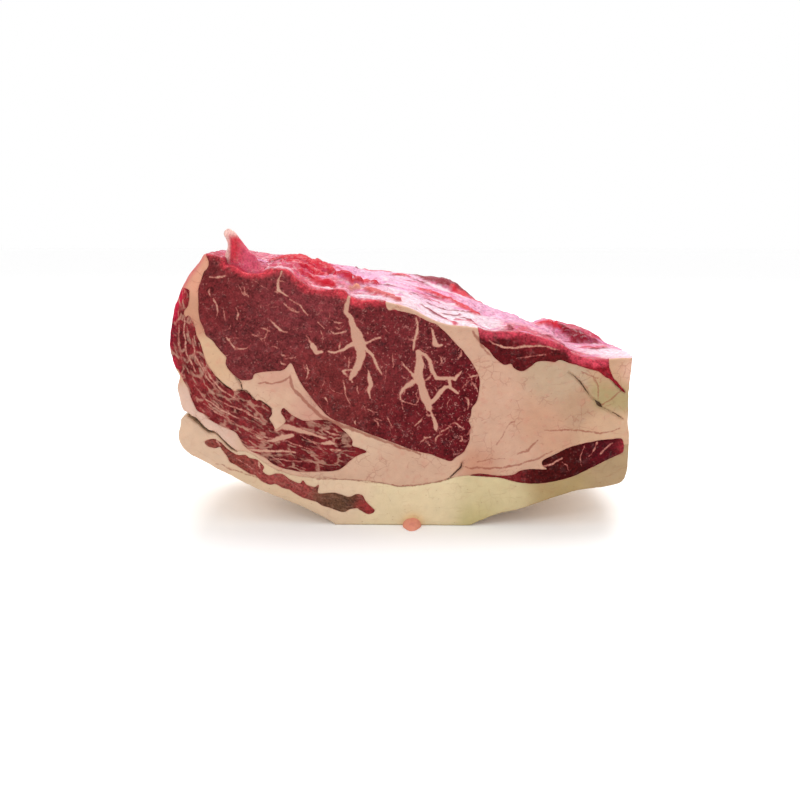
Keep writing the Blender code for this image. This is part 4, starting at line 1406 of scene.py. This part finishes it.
# Shreds of the rib side: small ones at random in four colours, then those that the photograph shows
SHREDS = tuple(
    Shred(branch, 0.5, screen)
    for seed, screen in enumerate((FILM, (214, 70, 96), (236, 140, 184), DEEP_RED), start=91)
    for branch in seeded_branches(24, (-86.0, 6.0), (102.0, 92.0), 6.0, seed, 2.4)
) + (
    Shred(((-72, 50, 2), (-62, 55, 5), (-53, 58, 9), (-43, 59, 8), (-38, 55, 3)), 2.4, RED),
    Shred(((-60, 27, 2), (-53, 29, 6), (-46, 33, 7), (-39, 30, 3)), 2.0, RED),
    Shred(((-50, 19, 2), (-43, 20, 4), (-35, 18, 2)), 1.2, RED),
    Shred(((-84, 20, 5), (-76, 17, 8), (-68, 15, 5), (-63, 10, 2)), 0.8, DEEP_RED),
    Shred(((-74, 38, 2), (-66, 36, 5), (-60, 34, 2)), 1.2, DEEP_RED),
    Shred(((-34, 30, 2), (-30, 28, 5), (-26, 25, 6), (-20, 27, 3)), 2.2, RED),
    Shred(((-27, 50, 3), (-20, 48, 7), (-14, 44, 3)), 2.0, RED),
    Shred(((-42, 44, 2), (-34, 42, 5), (-28, 38, 3)), 0.8, FILM),
    Shred(((-26, 19, 1), (-23.5, 21, 3), (-21, 22, 1)), 1.8, (250, 164, 136)),
    Shred(((-18, 22, 3), (-12, 18, 6), (-6, 13, 5), (-2, 9, 2)), 1.4, SALMON),
    # These three pale shreds along the rim, just behind the cut, are white film painted paler where wet
    # highlights lie on it: partly painted highlight.
    Shred(((-66, 12, 1), (-60, 13, 3), (-54, 12, 1)), 0.8, (248, 186, 200)),
    Shred(((-44, 12, 2), (-38, 12, 4), (-33, 10, 2)), 1.2, (250, 206, 216)),
    Shred(((-26, 10, 2), (-17, 9, 4), (-10, 7, 2)), 1.0, FILM),
    Shred(((-82, 36, 2), (-78, 44, 5), (-70, 48, 3)), 1.2, (236, 150, 190)),
    Shred(((-22, 86, 3), (-15, 89, 5), (-9, 86, 3)), 0.8, RED),
    Shred(((-5, 80, 2), (-1, 81, 4), (3, 80, 2)), 0.6, RED),
    Shred(((6, 90, 6), (14, 86, 14), (22, 83, 16), (30, 80, 12), (38, 80, 6)), 0.8, DEEP_RED),
    Shred(((28, 74, 3), (34, 72, 6), (43, 70, 4)), 0.8, RED),
    Shred(((14, 74, 3), (24, 70, 4), (34, 64, 2)), 0.5, FILM),
    Shred(((8, 54, 2), (16, 54, 5), (25, 52, 3)), 1.2, RED),
    Shred(((27, 52, 3), (32, 46, 6), (39, 33, 2)), 1.2, RED),
    Shred(((75, 64, 2), (82, 63, 5), (90, 61, 3)), 1.0, RED),
    Shred(((88, 62, 3), (95, 59, 8), (101, 56, 4)), 1.2, DEEP_RED),
    Shred(((60, 26, 2), (72, 27, 5), (84, 22, 2)), 0.6, (246, 168, 190)),
    Shred(((92, 34, 2), (98, 38, 4), (104, 44, 2)), 0.5, (226, 90, 110)),
)
# Colours of the other sides
FAT_SIDE = (222, 192, 162)
SPINE_SIDE_RED = (176, 44, 66)


@dataclass
class Coat:
    """Where each point of a piece lies, for its colours.

    Attributes:
        section: x and z in the section.
        depth: distance behind the front cut.
        meets: distance from where lean meets fat, on the point's cut.
        edge: distance from the skin, on the point's cut.
        ring: whether the point lies between the cuts.
        back: whether it lies on the back cut.
    """

    section: np.ndarray
    depth: np.ndarray
    meets: np.ndarray
    edge: np.ndarray
    ring: np.ndarray
    back: np.ndarray


def mixed(colour: np.ndarray, share: np.ndarray, other: np.ndarray | Colour) -> np.ndarray:
    """Colours turned towards another by a share for each point."""
    return colour + share[:, None] * (np.array(other) - colour)


@dataclass(frozen=True)
class RoastPiece:
    """One tissue of the roast, from the front cut to the back cut.

    Attributes:
        tissue: which part of the section it is.
        node: the frame's node that it stands for.
        slot: not used.
        finish: its material.
        tones: its colours on the cut.
        spine: the line that its fibres follow, or none where they run straight back.
        veins: pale branches on the cut.
        lines: dark lines on the cut.
        gain: base colour over look.
        warp: how the run is warped.
        dome: how far its cut stands proud of its border.
        dome_rise: over what distance from the border it rises.
        grit: height of its finest unevenness.
    """

    tissue: Tissue
    node: str
    slot: str
    finish: LeanFinish | FatFinish
    tones: tuple[Patch, ...]
    spine: Points
    veins: tuple[Branch, ...]
    lines: tuple[Branch, ...] = ()
    gain: float = CUT_GAIN
    warp: Warp = Warp()
    dome: float = 0.55
    dome_rise: float = 1.8
    grit: float = 0.07

    def build(self, front: Sheet, back: Sheet) -> bpy.types.Object:
        """Make the piece.

        Args:
            front: the section's triangles at the front cut.
            back: the same outlines' triangles at the back cut.

        Returns:
            The piece, dressed.
        """
        near, far = Face(front, self.tissue), Face(back, self.tissue)
        match = near.partners(far)
        columns = near.columns()
        depths = np.cumsum(np.linspace(RING_FIRST, RING_LAST, RINGS + 1))
        shares = depths[:-1] / depths[-1]
        near_depth, far_depth = near.round_over(), DEPTH - far.round_over()
        first = near_depth[columns, None]
        behind = (first + (far_depth[match[columns], None] - first) * shares).ravel()
        held = (near.places, near.outward, near.edge)
        places, outward, edge = (np.repeat(values[columns], len(shares), axis=0) for values in held)
        points = np.vstack([
            self.cut(near, near_depth, 1.0),
            self.cut(far, far_depth, -1.0),
            self.wall(places, behind, outward, edge),
        ])
        mesh = self.net(points, near, far, match, len(shares))
        order = np.arange(len(points))
        cuts = len(near.places) + len(far.places)
        unused = np.zeros(len(places))
        self.dress(mesh, Coat(
            section=np.vstack([near.places, far.places, places]),
            depth=np.concatenate([near_depth, far_depth, behind]),
            meets=np.concatenate([near.meets, far.meets, unused]),
            edge=np.concatenate([near.edge, far.edge, unused]),
            ring=order >= cuts,
            back=(order >= len(near.places)) & (order < cuts),
        ))
        return placed(mesh, self.finish.material(), self.node)

    def net(
        self, points: np.ndarray, near: "Face", far: "Face", match: np.ndarray, rings: int
    ) -> bpy.types.Mesh:
        """Join the points of both cuts and of the rings with faces.

        Each place on the border has a chain of points from cut to cut, through its rings if it has them.
        Two chains with rings are joined by a run of quads, two without by one quad, and a chain with rings
        and one without by one face with many corners.

        Args:
            points: those of the front cut, of the back cut and of the rings, chain by chain.
            near, far: the cuts.
            match: for each place of the front cut, its partner at the back.
            rings: how many points a chain has between the cuts.

        Returns:
            The mesh.
        """
        count = len(near.places)
        columns, ends = near.columns(), near.border_places()
        outer, inner = near.edges()
        chain = np.full((count, rings + 2), -1)
        chain[:, 0] = np.arange(count)
        chain[ends, -1] = match[ends] + count
        numbers = count + len(far.places) + np.arange(len(columns) * rings)
        chain[columns, 1:-1] = numbers.reshape(-1, rings)
        ringed = np.isin(np.arange(count), columns)
        ringed_ends = ringed[inner].sum(axis=1)
        left, right = chain[np.vstack([outer, inner[ringed_ends == 2]])].transpose(1, 0, 2)
        run = np.stack([right[:, :-1], left[:, :-1], left[:, 1:], right[:, 1:]], axis=2).reshape(-1, 4)
        p, q = inner[ringed_ends == 0].T
        quads = np.vstack([run, np.stack([q, p, chain[p, -1], chain[q, -1]], axis=1)])
        strips = []
        for edge in inner[ringed_ends == 1]:
            left, right = (chain[place] if ringed[place] else chain[place, [0, -1]] for place in edge)
            strips.append(right[::-1].tolist() + left.tolist())
        triangles = np.vstack([near.corners, far.corners[:, ::-1] + count])
        build = Build(points, quads, triangles, strips)
        return build.mesh(self.tissue.name.lower(), flat_from=len(outer) * (rings + 1))

    def cut(self, face: "Face", behind: np.ndarray, side: float) -> np.ndarray:
        """Points of a cut face, with its relief.

        The tissue stands a little proud of its border, over clouds of coarse and fine unevenness. Dark lines
        sink as narrow grooves at the front cut.

        Args:
            face: the cut.
            behind: distance of each place behind the front cut, before the relief.
            side: 1 at the front cut, -1 at the back.

        Returns:
            The points.
        """
        x, z = face.places.T
        dome = self.dome * (1.0 - np.exp(-face.rim / self.dome_rise))
        coarse = 0.55 * Noise(19.0, 31, 2).at(x, z, side) + 0.16 * Noise(4.2, 32, 2).at(x, z, side)
        fine = self.grit * Noise(0.95, 33, 2).at(x, z, side)
        groove = 1.3 * smooth_step(depth_in(face.places, self.lines), -0.9, 0.25) if side > 0 else 0.0
        behind = behind - side * (dome + coarse + fine - groove) * smooth_step(face.edge, 0.0, 3.0)
        x_out, z_out = self.warp.at(x, behind, z)
        return self.warp.points(x_out, behind, z_out)

    def wall(
        self, places: np.ndarray, behind: np.ndarray, outward: np.ndarray, edge: np.ndarray
    ) -> np.ndarray:
        """Points of the outside, moved along the outward direction by folds, crests, lumps and shreds.

        Args:
            places: x and z in the section.
            behind: distance of each behind the front cut.
            outward: direction out of the skin at each.
            edge: how far below the skin each lies, over which the moves fade.

        Returns:
            The points.
        """
        x, z = places.T
        x_out, z_out = self.warp.at(x, behind, z)
        share = smooth_step(behind, 0.5, 5.0) * smooth_step(DEPTH - behind, 0.5, 5.0)
        top = smooth_step(outward[:, 1], 0.3, 0.8) * smooth_step(z, 70.0, 84.0)
        folds = Noise(3.4, 41, 3).at(0.6 * x_out, behind, z_out * 0.6)
        lumps = Noise(11.0, 42, 2).at(x_out, behind, z_out)
        crests = 0.35 - np.abs(Noise(8.0, 43, 3).at(0.6 * x_out, behind, z_out))
        rough = top * (0.35 + 0.65 * smooth_step(-x, -10.0, 40.0))
        lift = (0.18 + 0.35 * rough) * folds + 0.35 * lumps + 1.9 * rough * crests
        over = np.stack([x, behind], axis=1)[top > 0.0]
        for shred in SHREDS:
            lift[top > 0.0] += shred.lift * top[top > 0.0] * smooth_step(shred.depth(over), -0.8, 0.9)
        lift = lift * share * smooth_step(z, 0.4, 4.0) * (1.0 - smooth_step(edge, 0.0, WALL_REACH))
        return self.warp.points(x_out + lift * outward[:, 0], behind, z_out + lift * outward[:, 1])

    def dress(self, mesh: bpy.types.Mesh, coat: Coat) -> None:
        """Store what the material reads: colours, distances and the fibres' directions.

        Args:
            mesh: the piece's mesh.
            coat: where its points lie.
        """
        x, z = coat.section.T
        ends = np.minimum(coat.depth, DEPTH - coat.depth)
        skin = np.where(coat.ring, smooth_step(ends, 0.5, 2.2), 0.0)
        drift = np.stack([Noise(30.0, seed).at(x, z) for seed in (51, 52)], axis=1)
        moved = coat.section + 7.0 * coat.back[:, None] * drift
        wave = [Noise(4.0, seed, 3).at(moved[:, 0], moved[:, 1]) for seed in (53, 54)]
        waved = moved + 0.85 * np.stack(wave, axis=1)
        vein = np.full(len(x), FAR_OUT)
        vein[~coat.ring] = depth_in(waved[~coat.ring], self.veins)
        vein = vein + 0.22 * Noise(1.7, 55).at(x, z)
        line = np.where(coat.ring, FAR_OUT, depth_in(coat.section, self.lines))
        top = smooth_step(z - height_at(RIB_EDGE, x), -9.0, -3.0)
        cut = self.banded_with_painted_rim_light(blended(coat.section, self.tones, self.gain), coat, top)
        outside, bare = self.outside(coat, top)
        fibre = along_spine(coat.section, self.spine) if self.spine else coat.section
        paint(
            mesh,
            tone=mixed(cut, skin, outside),
            vein=vein,
            line=line,
            rim=coat.meets,
            skin=skin,
            grain=np.stack([fibre[:, 0], fibre[:, 1], coat.depth * coat.ring], axis=1),
            fleck=0.45 + 0.55 * smooth_step(x + 0.4 * z, 0.0, 70.0),
            rosy=np.maximum(top * (1.0 - 0.75 * bare), 0.7 * (self.tissue is Tissue.CAP)),
        )

    def outside(self, coat: Coat, top: np.ndarray) -> tuple[np.ndarray, np.ndarray]:
        """Colours of the outside: the rib side's patches, shreds and torn red rim, and the other sides' own.

        Args:
            coat: where the points lie.
            top: how far each point belongs to the rib side.

        Returns:
            The colours, and how far each point is bare of the film.
        """
        x, _ = coat.section.T
        over = np.stack([x, coat.depth], axis=1)
        shown = coat.ring & (top > 0.0)
        side = SPINE_SIDE_RED if self.tissue is Tissue.CAP else FAT_SIDE
        colour = mixed(blended(over, RIB_SIDE_TONES, TOP_GAIN), 1.0 - top, tone(*side, CUT_GAIN))
        bare = np.zeros(len(x))
        for shred in SHREDS:
            share = top[shown] * smooth_step(shred.depth(over[shown]), -1.6, 0.5)
            colour[shown] = mixed(colour[shown], share, tone(*shred.screen, TOP_GAIN))
            bare[shown] = np.maximum(bare[shown], share)
        if self.tissue not in (Tissue.EYE, Tissue.RIB):
            return colour, bare
        reach = 3.5 + 4.0 * Noise(7.0, 46, 2).at(x, coat.depth) + 2.0 * smooth_step(-x, 30.0, 60.0)
        torn = top * (1.0 - smooth_step(coat.depth - reach, -1.2, 1.2))
        return mixed(colour, 0.85 * torn, tone(*RIM_RED, TOP_GAIN)), np.maximum(bare, torn)

    def banded_with_painted_rim_light(self, colour: np.ndarray, coat: Coat, top: np.ndarray) -> np.ndarray:
        """The cut's colours with a band of uneven width along the skin: on the eye and rib muscles a painted
        highlight, the rounded top rim made bright red where the light from above catches it; on the other
        tissues the skin's own red or pink at its edge.

        Args:
            colour: the colours so far.
            coat: where the points lie.
            top: how far each point belongs to the rib side.

        Returns:
            The new colours.
        """
        x, z = coat.section.T
        all_round = np.ones(len(x))
        eye_reach = 1.5 - 0.8 * smooth_step(x, -10.0, 6.0)
        reach, share, screen = {
            # Eye and rib: painted highlight, the rounded top rim made bright red where the light from above
            # catches it. Cap, seam fat and lip: the skin's own colour at the edge.
            Tissue.EYE: (eye_reach, smooth_step(z, 100.0, 108.0), (198, 66, 76)),
            Tissue.RIB: (2.4, top, (196, 70, 86)),
            Tissue.CAP: (1.4, all_round, (170, 38, 60)),
            Tissue.SEAM_FAT: (0.5, smooth_step(z, 95.0, 100.0) * (x < -80.0), (214, 112, 116)),
            Tissue.LIP: (1.6, all_round, (156, 44, 60)),
        }.get(self.tissue, (0.0, 0.0 * all_round, (0, 0, 0)))
        wide = reach * (1.0 + 1.1 * Noise(9.0, 61, 2).at(x, z) + 0.8 * Noise(2.2, 62, 3).at(x, z))
        share = share * smooth_step(wide - coat.edge, -2.4, 1.4) * ~coat.ring
        return mixed(colour, share, tone(*screen, self.gain))


class Face:
    """One tissue's triangles on one cut, with its own numbering.

    Attributes:
        places, outward, edge: the sheet's, for the tissue's own corners.
        corners: three indices for each triangle.
        rim: distance of each place from the tissue's border.
        meets: distance of each place from where lean meets fat.
    """

    def __init__(self, sheet: Sheet, tissue: Tissue) -> None:
        """Pick the tissue's triangles out of the sheet.

        Args:
            sheet: the section's triangles.
            tissue: the tissue.
        """
        used, flat = np.unique(sheet.corners[sheet.tissue == tissue.value], return_inverse=True)
        self.places = sheet.places[used]
        self.outward = sheet.outward[used]
        self.edge = sheet.edge[used]
        self.corners = flat.reshape(-1, 3)
        self._border = border(self.corners)
        self._outside = np.isin(edge_keys(used[self._border]), edge_keys(sheet.skin))
        ends = self.places[self._border]
        self.rim = nearest(self.places, samples(ends[:, 0], ends[:, 1]))[0]
        lean = border(sheet.corners[sheet.tissue >= Tissue.EYE.value])
        shared = np.isin(edge_keys(used[self._border]), edge_keys(lean)) & ~self._outside
        self.meets = nearest(self.places, samples(ends[shared, 0], ends[shared, 1]))[0]

    def border_places(self) -> np.ndarray:
        """Indices of the places on the tissue's border."""
        return np.unique(self._border)

    def columns(self) -> np.ndarray:
        """Indices of the border's places that have rings.

        Rings run behind the places on the skin, and behind those of the border that lie close below it, so
        that the walls inside follow the relief and stay inside.
        """
        ends = self.border_places()
        return np.union1d(self.edges()[0], ends[self.edge[ends] < WALL_REACH])

    def edges(self) -> tuple[np.ndarray, np.ndarray]:
        """Border edges on the skin, and those against other tissues."""
        return self._border[self._outside], self._border[~self._outside]

    def partners(self, other: "Face") -> np.ndarray:
        """Find each border place on the other face, where it lies at the same spot.

        Args:
            other: the other face.

        Returns:
            For each place here its partner's index there, or -1 within the face.
        """
        mine, theirs = self.border_places(), other.border_places()
        ends = (self.places[mine], other.places[theirs])
        rows = [np.round(places * KEY_SCALE).astype(np.int64) for places in ends]
        keys = [row[:, 0] * KEY_STEP + row[:, 1] for row in rows]
        order = np.argsort(keys[1])
        at = np.searchsorted(keys[1], keys[0], sorter=order)
        found = theirs[order[np.minimum(at, len(order) - 1)]]
        apart = np.linalg.norm(self.places[mine] - other.places[found], axis=1)
        if apart.max() > PARTNER_REACH:
            raise ValueError(f"a border place has no partner at the other cut, {apart.max():.3f} mm apart")
        match = np.full(len(self.places), -1)
        match[mine] = found
        return match

    def round_over(self) -> np.ndarray:
        """How far each place lies behind its cut, which rounds over into the skin as a quarter circle."""
        x, z = self.places.T
        radius = 1.1 + 0.5 * Noise(6.0, 21, 2).at(x, z)
        short = np.clip(radius - self.edge, 0.0, None)
        return radius - np.sqrt(np.maximum(radius**2 - short**2, 0.0))


def closed_grid(rings: np.ndarray) -> Build:
    """A closed form of rings, with a pole at the middle of both end rings.

    Args:
        rings: the rings' points, as an array of rings by points by axes.

    Returns:
        The form.
    """
    count, around = rings.shape[:2]
    index = np.arange(count * around).reshape(count, around)
    after = np.roll(index, -1, axis=1)
    quads = np.stack([index[:-1], after[:-1], after[1:], index[1:]], axis=2).reshape(-1, 4)
    low, high = count * around, count * around + 1
    foot = np.stack([np.full(around, low), after[0], index[0]], axis=1)
    tip = np.stack([np.full(around, high), index[-1], after[-1]], axis=1)
    poles = np.stack([rings[0].mean(axis=0), rings[-1].mean(axis=0)])
    return Build(np.vstack([rings.reshape(-1, 3), poles]), quads, np.vstack([foot, tip]))


@dataclass
class MeatTag:
    """A torn strip of meat that stands up from the rib side near the top left corner.

    Attributes:
        behind: distance of its middle behind the front cut.
        levels: its outline, as rows of height, left edge's x, right edge's x and thickness.
        rings, around: how many rings it has, and how many points a ring has.
        gain: base colour over look.
    """

    behind: float = 9.0
    levels: tuple[tuple[float, float, float, float], ...] = (
        (123.5, -89.0, -62.0, 15.0), (126.8, -87.8, -65.0, 13.0), (129.6, -86.8, -68.0, 10.5),
        (132.0, -86.2, -70.0, 8.6), (134.6, -85.4, -71.8, 7.2), (137.2, -84.6, -74.6, 6.2),
        (139.6, -84.2, -76.4, 5.2), (142.0, -84.9, -78.2, 4.4), (144.4, -86.0, -79.8, 3.6),
        (146.2, -85.4, -81.2, 2.6), (147.1, -84.2, -82.6, 1.2),
    )
    rings: int = 90
    around: int = 110
    gain: float = 0.78

    def build(self) -> bpy.types.Object:
        """Make the tag: ellipses over a smooth run of its levels, creased by noise."""
        rows = curve_through(self.levels, 0.05)
        rows = rows[np.linspace(0, len(rows) - 1, self.rings).round().astype(int)]
        z, left, right, thick = rows.T[:, :, None]
        turn = np.linspace(0.0, 2.0 * np.pi, self.around, endpoint=False)[None]
        middle, half = (left + right) / 2, (right - left) / 2
        crease = Noise(2.4, 71, 3).at(2.2 * np.cos(turn) + 0 * z, 2.2 * np.sin(turn) + 0 * z, z * 0.28)
        swell = 1.0 + 0.24 * crease
        x = middle + half * swell * np.cos(turn)
        y = self.behind + 0.5 * thick * swell * np.sin(turn) + 1.2 * np.sin((z - 128.0) / 9.0)
        z = z + 0.35 * Noise(1.8, 72, 2).at(x, y) + 0 * turn
        rings = np.stack([x - CENTRE_X, y + FRONT_Y, z], axis=2)
        build = closed_grid(rings)
        mesh = build.mesh("meat_tag")
        places = build.points
        share = smooth_step(places[:, 2], 128.0, 134.0)
        core = bump(places[:, 0] + CENTRE_X, -80.4, 3.6)
        left_edge = smooth_step(-(places[:, 0] + CENTRE_X), 81.8, 84.4)
        flank = np.maximum(left_edge, smooth_step(places[:, 2], 142.0, 146.0))
        red, rose, pale = (tone(*c, self.gain) for c in ((208, 62, 74), (214, 88, 112), (252, 206, 196)))
        colour = mixed(mixed(np.array(rose), share * core, red), share * flank, pale)
        ones = np.ones(len(places))
        paint(
            mesh,
            tone=colour,
            vein=FAR_OUT * ones,
            line=FAR_OUT * ones,
            rim=4.0 * ones,
            skin=0.55 * ones,
            grain=places[:, [2, 0, 1]],
            fleck=0.3 * ones,
            rosy=0.35 * ones,
        )
        finish = LeanFinish("torn_lean", bundle=1.0, stretch=3.0, flecks=0.3, web=0.3)
        return placed(mesh, finish.material(), "eye_muscle")


@dataclass
class FatScrap:
    """A loose scrap of fat at the foot of the cut: half a flattened ball with a wrinkled top.

    Attributes:
        x: its middle.
        size: its width, its length from front to back and its height.
        reach: how far it sticks out before the front cut.
    """

    x: float = 5.8
    size: tuple[float, float, float] = (9.5, 22.0, 4.4)
    reach: float = 8.0

    def build(self) -> bpy.types.Object:
        """Make the scrap: a ball over turn and height, flat below, swollen by noise."""
        rise = np.linspace(-1.0, 1.0, 44)[1:-1, None] * np.pi / 2
        turn = np.linspace(0.0, 2.0 * np.pi, 90, endpoint=False)[None]
        ball = [np.cos(rise) * np.cos(turn), np.cos(rise) * np.sin(turn), np.sin(rise) + 0 * turn]
        swell = 1.0 + 0.12 * Noise(0.7, 81, 3).at(*ball)
        x, y, z = (0.5 * s * swell * b for s, b in zip((self.size[0], self.size[1], 2 * self.size[2]), ball))
        middle = FRONT_Y - self.reach + self.size[1] / 2
        rings = np.stack([x + self.x - CENTRE_X, y + middle, np.maximum(z, 0.01 * (1.0 + ball[2]))], axis=2)
        build = closed_grid(rings)
        mesh = build.mesh("fat_scrap")
        ones = np.ones(len(build.points))
        paint(
            mesh,
            tone=ones[:, None] * np.array(tone(236, 156, 132, CUT_GAIN)),
            vein=FAR_OUT * ones,
            line=FAR_OUT * ones,
            rim=3.0 * ones,
            skin=0.0 * ones,
            grain=build.points,
            rosy=0.0 * ones,
        )
        return placed(mesh, FatFinish("scrap_fat", lobe=1.4, blush=0.5).material(), "fat")


def roast_pieces() -> list[RoastPiece]:
    """The tissues of the roast, each with its finish."""
    fine = sum((seeded_branches(*box, seed) for seed, box in enumerate(FINE_VEINS)), [])
    eye_lean = LeanFinish("eye_lean", flecks=0.7)
    cap_lean = LeanFinish("cap_lean", bundle=2.2, stretch=2.4, flecks=0.4, web=0.62, clouds=0.7)
    back_lean = LeanFinish("back_lean", bundle=1.3, stretch=1.8, flecks=0.3, web=0.15)
    rib_lean = LeanFinish("rib_lean", bundle=1.5, stretch=2.2, flecks=0.12)
    lip_lean = LeanFinish("lip_lean", bundle=1.4, stretch=1.8, flecks=0.12)
    seam_suet = FatFinish("seam_suet", blush=0.22)
    cap_suet = FatFinish("cap_suet", lobe=3.4, rough=0.46, blush=0.06, crazing=0.1)
    cut_of_fat = {"dome": 0.30, "dome_rise": 1.0, "grit": 0.03}
    return [
        RoastPiece(Tissue.EYE, "eye_muscle", "lean", eye_lean, EYE_TONES, (), MARBLING + tuple(fine)),
        RoastPiece(Tissue.CAP, "cap_muscle", "lean", cap_lean, CAP_TONES, CAP_SPINE, CAP_STREAKS),
        RoastPiece(Tissue.BACK, "back_muscle", "lean", back_lean, BACK_TONES, BACK_SPINE, BACK_STREAKS),
        RoastPiece(Tissue.RIB, "rib_muscle", "lean_rib", rib_lean, RIB_TONES, RIB_SPINE, RIB_STREAKS),
        RoastPiece(Tissue.LIP, "lip_muscle", "lean", lip_lean, LIP_TONES, LIP_SPINE, LIP_STREAKS),
        RoastPiece(
            Tissue.SEAM_FAT, "fat", "fat", seam_suet, SEAM_TONES, SEAM_SPINE, SEAMS, CRACKS, **cut_of_fat
        ),
        RoastPiece(
            Tissue.FAT_CAP, "fat", "fat", cap_suet, FAT_CAP_TONES, FAT_SPINE, SEAMS[1:], CRACKS[3:4],
            gain=0.97, **cut_of_fat,
        ),
    ]


@dataclass(frozen=True)
class Studio:
    """The floor, the soft lights, the world and the camera.

    Attributes:
        eye: the camera's place, in millimetres.
        pitch: how far it looks down, in degrees.
        yaw: how far it looks to the left of +Y, in degrees.
        lens: focal length on a sensor 36 mm wide.
    """

    eye: tuple[float, float, float] = (7.15, -456.0, 152.35)
    pitch: float = 11.9
    yaw: float = 1.2
    lens: float = 38.925

    def light(
        self, name: str, place: tuple[float, float, float], size: float, power: float, colour: Colour
    ) -> None:
        """Add a square soft light that faces the roast's middle.

        Args:
            name: its name.
            place: where it hangs, in metres.
            size: its side, in metres.
            power: its power, in watts.
            colour: its colour.
        """
        data = bpy.data.lights.new(name, "AREA")
        data.size = size
        data.energy = power
        data.color = colour
        lamp = bpy.data.objects.new(name, data)
        lamp.location = place
        facing = Vector((0.0, 0.0, 0.07)) - Vector(place)
        lamp.rotation_euler = facing.to_track_quat("-Z", "Y").to_euler()
        bpy.context.scene.collection.objects.link(lamp)

    def floor(self) -> None:
        """Add a plain pale floor."""
        mesh = bpy.data.meshes.new("floor")
        mesh.from_pydata([(-4, -4, 0), (4, -4, 0), (4, 4, 0), (-4, 4, 0)], [], [(0, 1, 2, 3)])
        ground = bpy.data.objects.new("floor", mesh)
        material = bpy.data.materials.new("floor_paper")
        material.use_nodes = True
        sockets = material.node_tree.nodes["Principled BSDF"].inputs
        sockets["Base Color"].default_value = (0.99, 0.99, 0.99, 1.0)
        sockets["Roughness"].default_value = 0.9
        mesh.materials.append(material)
        bpy.context.scene.collection.objects.link(ground)

    def camera(self) -> None:
        """Add the camera at the photograph's angle."""
        data = bpy.data.cameras.new("camera")
        data.sensor_width = 36.0
        data.lens = self.lens
        data.clip_start = 0.01
        camera = bpy.data.objects.new("camera", data)
        camera.location = tuple(c * MM for c in self.eye)
        camera.rotation_euler = (math.radians(90.0 - self.pitch), 0.0, math.radians(self.yaw))
        bpy.context.scene.collection.objects.link(camera)
        bpy.context.scene.camera = camera

    def build(self) -> None:
        """Add everything round the roast."""
        self.floor()
        self.camera()
        self.light("over_light", (0.05, 0.42, 0.85), 0.9, 9.5, (1.0, 0.985, 0.98))
        self.light("front_light", (-0.35, -0.9, 0.75), 0.25, 1.3, (1.0, 0.99, 0.98))
        world = bpy.data.worlds.new("studio")
        world.use_nodes = True
        sky = world.node_tree.nodes["Background"].inputs
        sky["Color"].default_value = (1.0, 1.0, 1.0, 1.0)
        sky["Strength"].default_value = 1.0
        bpy.context.scene.world = world
        bpy.context.scene.view_settings.view_transform = "Standard"


def main() -> None:
    """Build the roast's pieces, then the studio."""
    logging.basicConfig(level=logging.INFO, format="%(message)s")
    section = Section()
    front, back = section.sheet(FRONT_STEP), section.sheet(BACK_STEP)
    LOG.info("section: %d and %d triangles", len(front.corners), len(back.corners))
    for piece in roast_pieces():
        thing = piece.build(front, back)
        LOG.info("%s: %d faces", thing.name, len(thing.data.polygons))
    for small in (MeatTag(), FatScrap()):
        thing = small.build()
        LOG.info("%s: %d faces", thing.name, len(thing.data.polygons))
    Studio().build()


if __name__ == "__main__":
    main()
